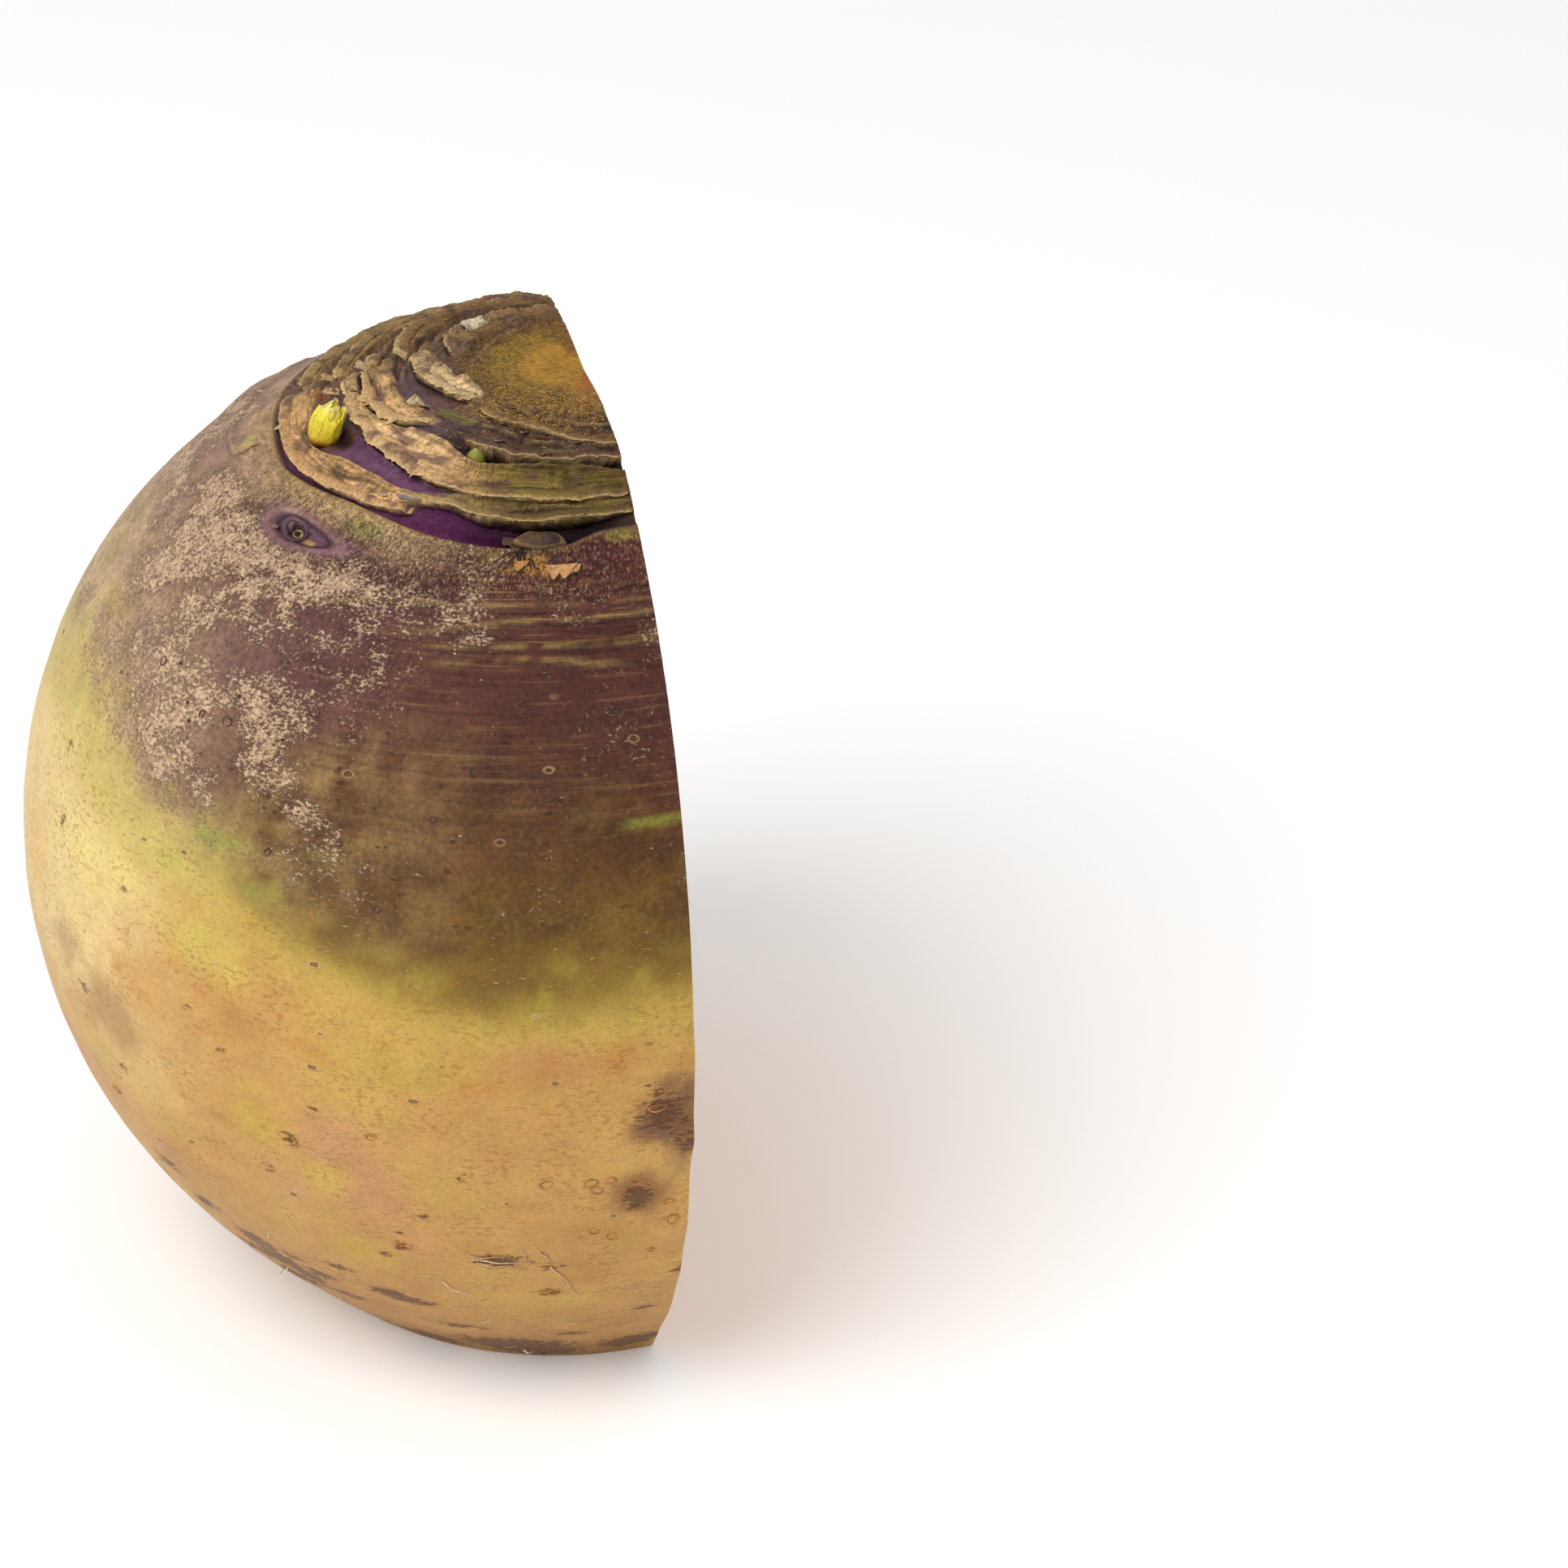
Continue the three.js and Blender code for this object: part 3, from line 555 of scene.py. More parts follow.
def middle_tones(turn, run, tone, fine, broad, streaky):
    """The dark channels between the scars and the corky, golden middle of the crown."""
    inside = 1 - smooth(run, 33.8, 35.2)
    corky = 1 - smooth(run + 1.2 * broad + 0.8 * fine, 12.0, 14.0)
    near = run + 2 * broad
    left = 1 - smooth(turn, 52, 70)
    return painted(tone, [
        ((92, 68, 62), inside),
        ((122, 94, 80), inside * smooth(turn, 40, 60)),
        ((66, 46, 48), inside * 0.7 * smooth(streaky + 0.5 * broad, -0.1, 0.5)),
        ((108, 82, 92), inside * band(turn, 50, 104, 8) * band(run, 17, 24, 1) * 0.7),
        ((132, 108, 74), inside * 0.6 * smooth(turn, 92, 112) * smooth(streaky - fine, -0.2, 0.5)),
        ((116, 88, 54), corky),
        ((156, 126, 72), corky * 0.75 * smooth(fine + 0.6 * broad, -0.1, 0.6)),
        ((176, 142, 58), 0.85 * (1 - smooth(near, 8, 12)) * smooth(turn, 30, 70)),
        ((196, 150, 66), 0.85 * (1 - smooth(near, 5, 9))),
        ((176, 108, 58), 0.8 * (1 - smooth(near, 9, 14)) * (1 - smooth(turn, 8, 24))),
        ((134, 94, 56), 0.8 * band(run, 4, 16, 2) * smooth(turn, 158, 174)),
        ((168, 140, 84), left * band(run, 7, 16.5, 1.5) * 0.55 * smooth(fine, -0.2, 0.4)),
        ((72, 52, 46), 0.8 * (1 - smooth(turn, 50, 66)) * band(run, 16.8, 23.5, 0.8)
         * smooth(streaky + 0.5 * fine, -0.6, 0.1))])


def scar_tones(turn, run, tone, fine, streaky):
    """Tan bands of the scars, stained lilac and olive, with dark creases, a painted highlight along each torn
    edge and a painted shadow under it, and the thin torn ridges between them, each with a painted shadow just
    below it."""
    lilac = cloud(turn / 6, run / 1.6, 451) + 0.5 * streaky
    olive = cloud(turn / 7, run / 2.4, 461) + 0.4 * fine
    for scar in scar_bands(turn, run):
        cover = gradient(turn, SCAR_COLOURS[scar.name]) * (1 + 0.45 * band(turn, 44, 102, 9))[..., None]
        cover = painted(cover, [
            ((112, 84, 84), 0.75 * smooth(lilac, 0.1, 0.6)),
            ((134, 122, 66), 0.5 * smooth(olive, 0.2, 0.7))])
        creased = 0.6 * hump(scar.across - 0.14, 0.05) + 0.5 * hump(scar.across - 0.80, 0.05)
        for darker, paler, amount in (
                (0.42, 0, 0.6 * smooth(-fine - 0.5 * streaky, 0.25, 0.7)),
                (1.15, 0.01, 0.8 * smooth(fine - 0.6 * lilac, 0.1, 0.7)),
                (0.5, 0, 0.55 * (1 - smooth(scar.across + 0.2 * fine, 0.05, 0.4))),
                (1.25, 0.02, 0.6 * hump(scar.across - 0.05, 0.05)),
                (0.4, 0, creased)):
            cover = paint(cover, cover * darker + paler, amount)
        tone = paint(tone, cover, scar.on)
        torn = 0.5 + 0.5 * smooth(cloud(turn / 1.3, 0 * run, 471 + scar.number), -0.3, 0.2)
        shadow = band(scar.past, 0.2, 0.75, 0.2) * scar.ends * scar.height
        # Painted highlight: a pale line along each torn lip. Then a painted shadow on the fold just under it.
        tone = painted(tone, [
            ((206, 176, 126), 0.85 * torn * hump(scar.past + 0.12, 0.2) * scar.ends),
            ((34, 20, 22), 0.9 * np.clip(shadow, 0, 1))])
    for past, stands, _, wide, start in torn_ridges(turn, run):
        # Painted shadow: a dark line just below each ridge, where no furrow is built. Then the ridge's own
        # colour.
        tone = painted(tone, [
            ((52, 36, 34), 0.7 * stands * hump(past - 0.45, 0.3)),
            ((150, 118, 66) if start > 40 else (160, 132, 94), 0.8 * stands * hump(past, wide))])
    return tone


def channel_tones(turn, run, tone, fine):
    """The deep fold painted near-black as painted shade, the violet groove with painted shadow in its deepest
    part, the lilac strip of stem skin round the bud with painted shade under the lip above it, and painted
    shade in the hollow beside the bud.
    """
    # Painted shade: near-black laid over the deep fold above the olive ledge.
    tone = paint(tone, shade(34, 20, 22), 0.95 * crevice(turn, run))
    # The groove's own violet, turning near-black from turn 7 to 30 as painted shadow in its deepest part.
    violet = gradient(turn, [(0, 74, 52, 42), (7, 26, 10, 18), (22, 28, 8, 24), (30, 68, 15, 56),
                             (42, 104, 48, 92), (54, 116, 68, 100), (94, 92, 52, 78), (110, 100, 70, 74)])
    tone = paint(tone, violet, 0.95 * deep_groove(turn, run)[0])
    on, share = violet_strip(turn, run)
    # The strip is painted dark along its upper edge, as painted shade under the lip above it. Its other coats
    # are its own colour.
    strip = painted(np.broadcast_to(shade(118, 78, 108), tone.shape), [
        ((58, 28, 48), 0.9 * (1 - smooth(share, 0.0, 0.3))),
        ((136, 100, 122), 0.5 * smooth(fine, 0.1, 0.6)),
        ((110, 80, 68), 0.9 * smooth(turn + 4 * fine, 72, 80))])
    tone = paint(tone, strip, 0.95 * on)
    # Painted shade: dark brown laid in the hollow beside the bud.
    return paint(tone, shade(58, 38, 32), 0.9 * hump(spot(turn, run, *HOLLOW_SHADE), 0.9))


def shoulder_tones(turn, run, tone, fine, broad):
    """Tan and rust where the shoulder rolls out of the groove."""
    past = run - curve_at(SHOULDER, turn)
    shoulder = smooth(past, 0.0, 0.5) * (1 - smooth(run, 41, 46))
    tan = band(turn, 40, 118, 12) * shoulder * (1 - smooth(past + 1.6 * broad, 2.2, 5.5))
    return painted(tone, [
        ((206, 172, 122), 0.85 * tan),
        ((146, 108, 88), 0.6 * tan * smooth(fine - 0.3 * broad, 0.0, 0.6)),
        ((146, 98, 92), 0.7 * tan * smooth(turn, 70, 84) * smooth(0.5 * broad - fine, -0.4, 0.3)),
        ((172, 140, 96), 0.8 * shoulder * hump(past - 0.4, 0.45) * (0.4 + 0.6 * smooth(turn, 26, 44))),
        ((100, 56, 52), 0.65 * shoulder * (1 - smooth(turn, 18, 34)) * smooth(past, 0.6, 1.6))])


def crown_tones(turn, run, tone):
    """Colours of the crown over the flank's, from the middle out to the shoulder, with painted shade in its
    folds and hollow, painted highlights and shadows along its torn edges and ridges, its stains, its cracked
    patch and the sleeping eye."""
    fine = cloud(turn / 2.2, run / 1.3, 401)
    broad = cloud(turn / 11, run / 6, 411)
    streaky = cloud(turn / 12, run / 0.5, 405)
    tone = middle_tones(turn, run, tone, fine, broad, streaky)
    tone = scar_tones(turn, run, tone, fine, streaky)
    tone = channel_tones(turn, run, tone, fine)
    tone = shoulder_tones(turn, run, tone, fine, broad)
    ripple = 0.4 * cloud(turn / 1.8, run / 1.0, 421)
    tone = stained(tone, CROWN_SPOTS, turn, run, ripple, 0.5, 1.05)
    cracked = 1 - smooth(spot(turn, run, *CRACKED_PATCH), 0.5, 1.1)
    veins = 1 - smooth(np.abs(cloud(turn / 2.4, run / 1.5, 441, 3)), 0.03, 0.10)
    eye, pit = eye_scar(turn, run)
    return painted(tone, [
        ((40, 26, 24), 0.9 * veins * cracked),
        ((146, 108, 112), 0.7 * hump(eye - 1.35, 0.35)),
        ((104, 72, 90), 0.9 * (1 - smooth(eye, 0.95, 1.1))),
        ((44, 28, 36), 0.95 * hump(eye - 0.86, 0.12)),
        ((40, 28, 28), 0.9 * (1 - smooth(pit, 0.5, 0.8)) + 0.85 * hump(pit - 1.2, 0.14)),
        ((128, 98, 96), 0.8 * hump(pit - 0.95, 0.14)),
        ((186, 150, 84), 0.9 * (1 - smooth(spot(turn, run, *EYE_GLINT), 0.6, 1.1)))])


TURNS = np.linspace(0, 180, 251)
RUNS = np.concatenate([
    np.linspace(0, 8, 11)[1:], np.arange(8.25, 41, 0.215), np.arange(41.2, 56, 0.42),
    np.linspace(56.5, RUN_END, 112)])
INSETS = np.array([0.004, 0.01, 0.018, 0.028, 0.04, 0.055, 0.073, 0.095, 0.125, 0.17, 0.23, 0.31, 0.41,
                   0.53, 0.67, 0.83])  # rings of the cut face, as shares of the way to its middle
BASE_SHARES = np.array([0.03, 0.1, 0.25, 0.5, 1.0])  # rows of the trimmed end, from the skin to the cut
CUT_MIDDLE = np.array([CUT_X, 0, 58.0])


def on_skin(turn, run, above=0.0):
    """Points of the finished skin, or a height in mm above it: the smooth outline plus the relief."""
    lift, push = crown_relief(turn, run)
    return skin_point(turn, run, lift + flank_relief(turn, run) + above, push)


def quads(grid):
    """Faces between neighbouring rows and columns of a grid of point numbers."""
    return np.stack([grid[:-1, :-1], grid[:-1, 1:], grid[1:, 1:], grid[1:, :-1]], -1).reshape(-1, 4)


def fan(point, line):
    """Triangles from one point of a mesh to each step of a line of points."""
    return np.stack([np.full(len(line) - 1, point), line[1:], line[:-1]], -1)


def root_mesh():
    """One closed surface: the skin's grid and its pole, the trimmed end as straight rows from the skin
    to the cut edge, and the cut face as shrinking copies of its own edge. Returns the points, the
    faces of the skin and of the flesh, and the numbers of the skin's points."""
    skin = on_skin(*np.meshgrid(TURNS, RUNS))
    rows, columns = skin.shape[:2]
    skin_ids = 1 + np.arange(rows * columns).reshape(rows, columns)
    share = BASE_SHARES[:, None, None]
    chord = np.linspace(skin[-1, 0], skin[-1, -1], columns)[None, 1:-1]
    base = skin[-1:, 1:-1] * (1 - share) + chord * share
    base_ids = 1 + skin_ids.size + np.arange(base[..., 0].size).reshape(base.shape[:2])
    points = np.concatenate([skin_point(np.zeros(1), np.zeros(1)), skin.reshape(-1, 3), base.reshape(-1, 3)])

    edge_ids = np.concatenate([[0], skin_ids[:, 0], base_ids[-1], skin_ids[::-1, -1]])
    edge = points[edge_ids]
    cut = edge + (CUT_MIDDLE - edge) * INSETS[:, None, None]
    wave = 0.10 * cloud(cut[..., 1] / 6, cut[..., 2] / 9, 501)
    cut[..., 0] = CUT_X - np.abs(wave) * smooth(INSETS, 0.02, 0.1)[:, None]
    cut_ids = len(points) + np.arange(wave.size).reshape(wave.shape)
    points = np.concatenate([points, cut.reshape(-1, 3), [CUT_MIDDLE - [0.05, 0, 0]]])

    ring = np.concatenate([skin_ids[-1:, 1:-1], base_ids])
    rings = np.concatenate([edge_ids[None], cut_ids])
    rings = np.concatenate([rings, rings[:, :1]], 1)
    flesh = [quads(ring), fan(skin_ids[-1, 0], ring[::-1, 0]), fan(skin_ids[-1, -1], ring[:, -1]),
             quads(rings), fan(len(points) - 1, rings[-1, ::-1])]
    return points, [quads(skin_ids), fan(0, skin_ids[0])], flesh, skin_ids


def put_mesh(name, points, faces, parts=None):
    """Mesh object from points in mm and arrays of faces; parts gives each array's material slot."""
    parts = parts or [0] * len(faces)
    loops = np.concatenate([f.reshape(-1) for f in faces])
    sizes = np.concatenate([np.full(len(f), f.shape[1]) for f in faces])
    slots = np.concatenate([np.full(len(f), part) for f, part in zip(faces, parts)])
    mesh = bpy.data.meshes.new(name)
    mesh.vertices.add(len(points))
    mesh.vertices.foreach_set("co", (points * MM).astype(np.float32).reshape(-1))
    mesh.loops.add(len(loops))
    mesh.loops.foreach_set("vertex_index", loops.astype(np.int32))
    mesh.polygons.add(len(sizes))
    mesh.polygons.foreach_set("loop_start", np.concatenate([[0], np.cumsum(sizes)[:-1]]).astype(np.int32))
    mesh.polygons.foreach_set("loop_total", sizes.astype(np.int32))
    mesh.polygons.foreach_set("material_index", slots.astype(np.int32))
    mesh.update(calc_edges=True)
    mesh.validate()
    mesh.shade_smooth()
    piece = bpy.data.objects.new(name, mesh)
    bpy.context.scene.collection.objects.link(piece)
    return piece


def put_values(mesh, name, values):
    """Stores one number, or one colour, for each point of the mesh."""
    colour = values.ndim == 2
    layer = mesh.attributes.new(name, "FLOAT_COLOR" if colour else "FLOAT", "POINT")
    if colour:
        values = np.concatenate([values, np.ones((len(values), 1))], 1)
    layer.data.foreach_set("color" if colour else "value", values.astype(np.float32).reshape(-1))


def cut_tones(y, z, deep):
    """Colours of the cut face, from its place and its depth inside the skin in mm: orange-yellow
    flesh with a paler marbled heart, a green rim near the crown and a peach one lower down."""
    slow, fine = cloud(y / 14, z / 16, 601), cloud(y / 3, z / 3.6, 611)
    tone = np.broadcast_to(shade(228, 154, 58), y.shape + (3,)).copy()
    heart = hump(np.hypot(y / 30, (z - 52) / 40), 1) + 0.35 * slow + 0.3 * fine
    tone = paint(tone, shade(238, 188, 108), 0.7 * smooth(heart, 0.35, 1.1))
    tone = paint(tone, shade(218, 136, 40), 0.5 * smooth(cloud(y / 5, z / 6, 621), 0.15, 0.7))
    tone = paint(tone, shade(234, 186, 74), 0.7 * smooth(z + 5 * slow, 92, 112))
    high = smooth(z, 44, 60)
    tone = paint(tone, shade(226, 200, 84), 0.6 * high * (1 - smooth(deep, 2.5, 7)))
    tone = paint(tone, shade(196, 194, 78), 0.85 * hump(deep - 1.7, 1.5) * high)
    tone = paint(tone, shade(230, 196, 116), 0.5 * hump(deep - 4.4, 1.2) * (0.4 + 0.6 * high))
    tone = paint(tone, shade(206, 196, 84), 0.4 * hump(deep - 6.3, 0.8) * (0.5 + 0.5 * fine))
    tone = paint(tone, shade(232, 176, 112), 0.7 * (1 - high) * (1 - smooth(deep, 2, 5)))
    crown = smooth(z, 105, 114) * (1 - smooth(np.abs(y), 18, 30))
    tone = paint(tone, shade(150, 104, 52), 0.8 * crown * (1 - smooth(deep, 0.8, 2.6)))
    return paint(tone, shade(110, 88, 52), 0.85 * (1 - smooth(deep, 0.05, 0.5)))


points, skin_faces, flesh_faces, skin_ids = root_mesh()
slots = [0] * len(skin_faces) + [1] * len(flesh_faces)
root = put_mesh("rutabaga_root", points, skin_faces + flesh_faces, slots)
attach(root, "root")
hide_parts("rutabaga_half")


def skin_marks(turn, run, below):
    """How strongly each kind of mark shows at each point, from 0 to 1: tan scurf flakes, crazing of
    fine dark cracks, ring wrinkles, pores, and the dull cork of the scars and the crown's middle."""
    drift = np.clip(0.5 + 0.9 * cloud(turn / 7, run / 6, 701), 0, 1)
    scurf = 0.95 * hump(turn - 65, 22) * band(run, 43, 54, 3) * (0.4 + 0.75 * drift)
    scurf = scurf + 0.55 * hump(turn - 60, 20) * band(run, 54, 76, 6) * (0.15 + 1.0 * drift)
    scurf = scurf + 0.4 * band(run, 36, 46, 3) * band(turn, 24, 90, 12)
    scurf = scurf + 0.2 * band(run, 41, 50, 3) * (1 - smooth(turn, 30, 50)) * drift
    scurf = scurf + 0.65 * smooth(turn, 84, 98) * band(run, 36, 66, 5) * drift
    scurf = scurf + 0.6 * hump(turn - 78, 14) * band(run, 42, 58, 4) * (0.3 + 0.7 * drift)
    scurf = np.clip(scurf + 0.4 * drift * band(run, 33, 84, 4), 0, 1) * (1 - smooth(below, -8, 0))
    on_scars = np.max([scar.on for scar in scar_bands(turn, run)], 0)
    folds = np.clip(crevice(turn, run) + deep_groove(turn, run)[0] + violet_strip(turn, run)[0], 0, 1)
    flat = 1 - folds
    wrinkle = band(run, 38, 49, 4) * (0.2 + 0.8 * (1 - smooth(turn, 26, 50)))
    wrinkle = wrinkle + 0.4 * band(run, 49, 70, 6) * (1 - smooth(turn, 44, 74))
    wrinkle = np.maximum(wrinkle, 0.8 * band(run, 7, 34, 1.5)) + 0.3 * smooth(run, 118, 150)
    cork = np.clip(on_scars + (1 - smooth(run, 13.5, 16.5)), 0, 1) * flat
    clear = smooth(eye_scar(turn, run)[0], 1.15, 1.7)
    return {
        "scurf": scurf * flat * (1 - 0.7 * cork) * clear,
        "crazing": band(run, 34.6, 42.5, 1.5) * band(turn, -12, 78, 12) * clear * flat,
        "wrinkle": wrinkle * flat, "pores": smooth(run, 48, 62), "cork": cork, "fold": folds,
        "ripe": smooth(below, -16, 0), "scab": scabs(turn, run)}


AT_A_TIME = 2000
MAP_RADIUS = 48  # mm, about the root's mean radius


def distance_to(points, others):
    """Distance from each point to the nearest of the others, worked out for some points at a time."""
    near = []
    for start in range(0, len(points), AT_A_TIME):
        gap = points[start:start + AT_A_TIME, None] - others[None]
        near.append(np.sqrt((gap**2).sum(-1).min(1)))
    return np.concatenate(near)


turn, run = np.meshgrid(TURNS, RUNS)
tone, below = flank_tones(turn, run)
tone = crown_tones(turn, run, tone)
deeper = 1 + 0.15 * (1 - smooth(run, 33, 37))
tone = np.clip(tone, 0, 1) ** deeper[..., None]
skin_end = 1 + turn.size  # the pole and the skin's grid come first
inner = points[skin_end:]
edge = np.concatenate([skin_ids[:, 0], skin_ids[:, -1], skin_ids[-1]])
flesh_tone = cut_tones(inner[:, 1], inner[:, 2], distance_to(inner, points[edge]))
flesh_tone = paint(flesh_tone, shade(178, 138, 78), 0.6 * (inner[:, 2] < 0.01))  # the trimmed end is browner
put_values(root.data, "tone", np.concatenate([[tone[0].mean(0)], tone.reshape(-1, 3), flesh_tone]))
for name, values in skin_marks(turn, run, below).items():
    full = np.zeros(len(points))
    full[1:skin_end] = values.reshape(-1)
    put_values(root.data, name, full)
place = np.zeros((len(points), 2))  # mm round the root and down it, so that marks follow the skin
place[1:skin_end, 0] = (np.radians(turn) * MAP_RADIUS).reshape(-1)
place[1:skin_end, 1] = run.reshape(-1)
place[skin_end:] = inner[:, 1:]
corner = np.empty(len(root.data.loops), np.int32)
root.data.loops.foreach_get("vertex_index", corner)
uv_layer = root.data.uv_layers.new(name="skin_map")
uv_layer.data.foreach_set("uv", place[corner].astype(np.float32).reshape(-1))
root.data.set_sharp_from_angle(angle=math.radians(60))


def rgba(red, green, blue):
    """A colour seen as 0 to 255, ready for a shader socket."""
    return (*shade(red, green, blue), 1)


class Finish:
    """A material being made. Its methods add shader nodes and give back the sockets they end in."""

    def __init__(self, name):
        self.material = bpy.data.materials.new(name)
        self.material.use_nodes = True
        self.tree = self.material.node_tree
        self.inputs = self.tree.nodes["Principled BSDF"].inputs
        self.tone = self.node("ShaderNodeAttribute", attribute_name="tone").outputs["Color"]
        place = self.node("ShaderNodeTexCoord").outputs["Object"]
        self.solid = self.scaled(place, (1000, 1000, 1000))  # the piece's own coordinates in mm

    def feed(self, socket, value):
        """Links an input to a socket, or sets it to a constant."""
        if isinstance(value, bpy.types.NodeSocket):
            self.tree.links.new(value, socket)
        else:
            socket.default_value = value

    def node(self, kind, inputs=None, **settings):
        """A shader node with its settings and inputs."""
        made = self.tree.nodes.new(kind)
        for name, value in settings.items():
            setattr(made, name, value)
        for name, value in (inputs or {}).items():
            self.feed(made.inputs[name], value)
        return made

    def scaled(self, at, scale, turned=(0, 0, 0)):
        """Coordinates turned by three angles after they are stretched by scale."""
        return self.node("ShaderNodeMapping", {"Vector": at, "Scale": scale, "Rotation": turned}).outputs[0]

    def noise(self, at, scale, detail=4.0, rough=0.55):
        """Cloudy pattern with features about 1 / scale mm wide."""
        return self.node("ShaderNodeTexNoise", {"Vector": at, "Scale": scale, "Detail": detail,
                         "Roughness": rough, "Lacunarity": 2.17}).outputs["Fac"]

    def cells(self, at, scale, feature="F1"):
        """Pattern of cells about 1 / scale mm wide: distance from each one's seed or edge, and colour."""
        return self.node("ShaderNodeTexVoronoi", {"Vector": at, "Scale": scale}, feature=feature).outputs

    def stored(self, name):
        """A number stored on the mesh."""
        return self.node("ShaderNodeAttribute", attribute_name=name).outputs["Fac"]

    def math(self, how, *values):
        """Result of one sum, named as the node names it."""
        return self.node("ShaderNodeMath", dict(enumerate(values)), operation=how).outputs[0]

    def product(self, first, *others):
        """All the values multiplied."""
        for other in others:
            first = self.math("MULTIPLY", first, other)
        return first

    def total(self, *terms):
        """Sum of (value, factor) pairs."""
        scaled = [self.math("MULTIPLY", value, factor) for value, factor in terms]
        return functools.reduce(lambda a, b: self.math("ADD", a, b), scaled)

    def between(self, value, low, high, start=0.0, stop=1.0):
        """start below low, stop above high, and an S-curve between."""
        return self.node("ShaderNodeMapRange", {"Value": value, "From Min": low, "From Max": high,
                         "To Min": start, "To Max": stop}, interpolation_type="SMOOTHSTEP").outputs["Result"]

    def blend(self, amount, a, b, how="MIX"):
        """Colour a with colour b laid over it by amount."""
        return self.node("ShaderNodeMix", {0: amount, 6: a, 7: b}, data_type="RGBA", blend_type=how,
                         clamp_factor=True).outputs[2]

    def coat(self, under, colour, strength, *masks):
        """A colour seen as 0 to 255 laid over another, by a strength, where every mask is 1."""
        return self.blend(self.product(*masks, strength), under, rgba(*colour))

    def shaded(self, strength, level):
        """The stored tones made darker or lighter by level."""
        grey = self.node("ShaderNodeCombineColor", {"Red": level, "Green": level, "Blue": level})
        return self.blend(strength, self.tone, grey.outputs[0], "MULTIPLY")

    def done(self, colour, rough, gloss, height, bump, light):
        """The material with its colour, roughness, gloss, bumps (strength and mm high) and light
        within it (weight, reach of red, green and blue, and mm deep)."""
        raised = self.node("ShaderNodeBump", {"Height": height, "Strength": bump[0],
                           "Distance": bump[1] * MM})
        for name, value in (
                ("Base Color", colour), ("Roughness", rough), ("Specular IOR Level", gloss),
                ("Normal", raised.outputs[0]), ("Subsurface Weight", light[0]),
                ("Subsurface Radius", light[1]), ("Subsurface Scale", light[2] * MM)):
            self.feed(self.inputs[name], value)
        return self.material


def add_wrinkles(skin, colour, heights):
    """Pale ridges and dark furrows that run round the root."""
    lines = skin.noise(skin.scaled(skin.map, (0.05, 1, 1)), 1.5, 4, 0.6)
    ridge = skin.product(skin.between(lines, 0.55, 0.66), skin.stored("wrinkle"))
    furrow = skin.product(skin.between(lines, 0.44, 0.38), skin.stored("wrinkle"))
    heights += [(ridge, 0.5), (furrow, -0.5)]
    colour = skin.coat(colour, (170, 134, 88), 0.42, ridge)
    return skin.coat(colour, (56, 34, 28), 0.62, furrow)


def add_scurf(skin, colour, heights):
    """Tan corky flakes in clumps, each ringed by a dark painted shadow on the skin round it."""
    small = skin.noise(skin.flat, 2.5, 7, 0.78)
    clumps = skin.noise(skin.flat, 0.45, 6, 0.7)
    field = skin.total((small, 0.68), (clumps, 0.32), (skin.stored("scurf"), 0.153))
    skin.flakes = skin.between(field, 0.595, 0.635)
    heights += [(skin.flakes, 0.4), (small, 0.3)]
    # Painted shadow: a dark rim laid round each flake on the skin below it.
    colour = skin.coat(colour, (80, 50, 50), 0.6, skin.between(field, 0.555, 0.595), skin.stored("scurf"))
    tan = skin.blend(skin.between(skin.fine, 0.35, 0.65), rgba(162, 130, 104), rgba(220, 190, 152))
    return skin.blend(skin.product(skin.flakes, 0.8), colour, tan)


def add_cracks(skin, colour, heights):
    """Pale plates between the fine dark cracks of the shoulder, and splits along the corky scars."""
    wander = skin.node("ShaderNodeTexNoise", {"Vector": skin.solid, "Scale": 1.1, "Detail": 4.0})
    bent = skin.node("ShaderNodeVectorMath", {0: skin.scaled(skin.map, (1.5, 0.75, 1)),
                     1: wander.outputs["Color"]}, operation="ADD").outputs[0]
    inside = skin.cells(bent, 1.35, "DISTANCE_TO_EDGE")["Distance"]
    crazed = skin.stored("crazing")
    plates = skin.product(skin.between(inside, 0.14, 0.26), crazed, skin.between(skin.fine, 0.42, 0.58))
    cracks = skin.product(skin.between(inside, 0.12, 0.02), crazed, skin.between(skin.fine, 0.62, 0.42))
    veins = skin.noise(skin.scaled(skin.map, (1.3, 0.3, 1)), 0.9, 3, 0.5)
    splits = skin.between(skin.math("ABSOLUTE", skin.math("SUBTRACT", veins, 0.5)), 0.018, 0.005)
    splits = skin.product(splits, skin.stored("cork"), skin.between(skin.coarse, 0.44, 0.56))
    cracks = skin.math("MAXIMUM", cracks, splits)
    heights += [(cracks, -0.9)]
    colour = skin.coat(colour, (170, 138, 84), 0.32, plates)
    return skin.coat(colour, (60, 36, 34), 0.55, cracks)


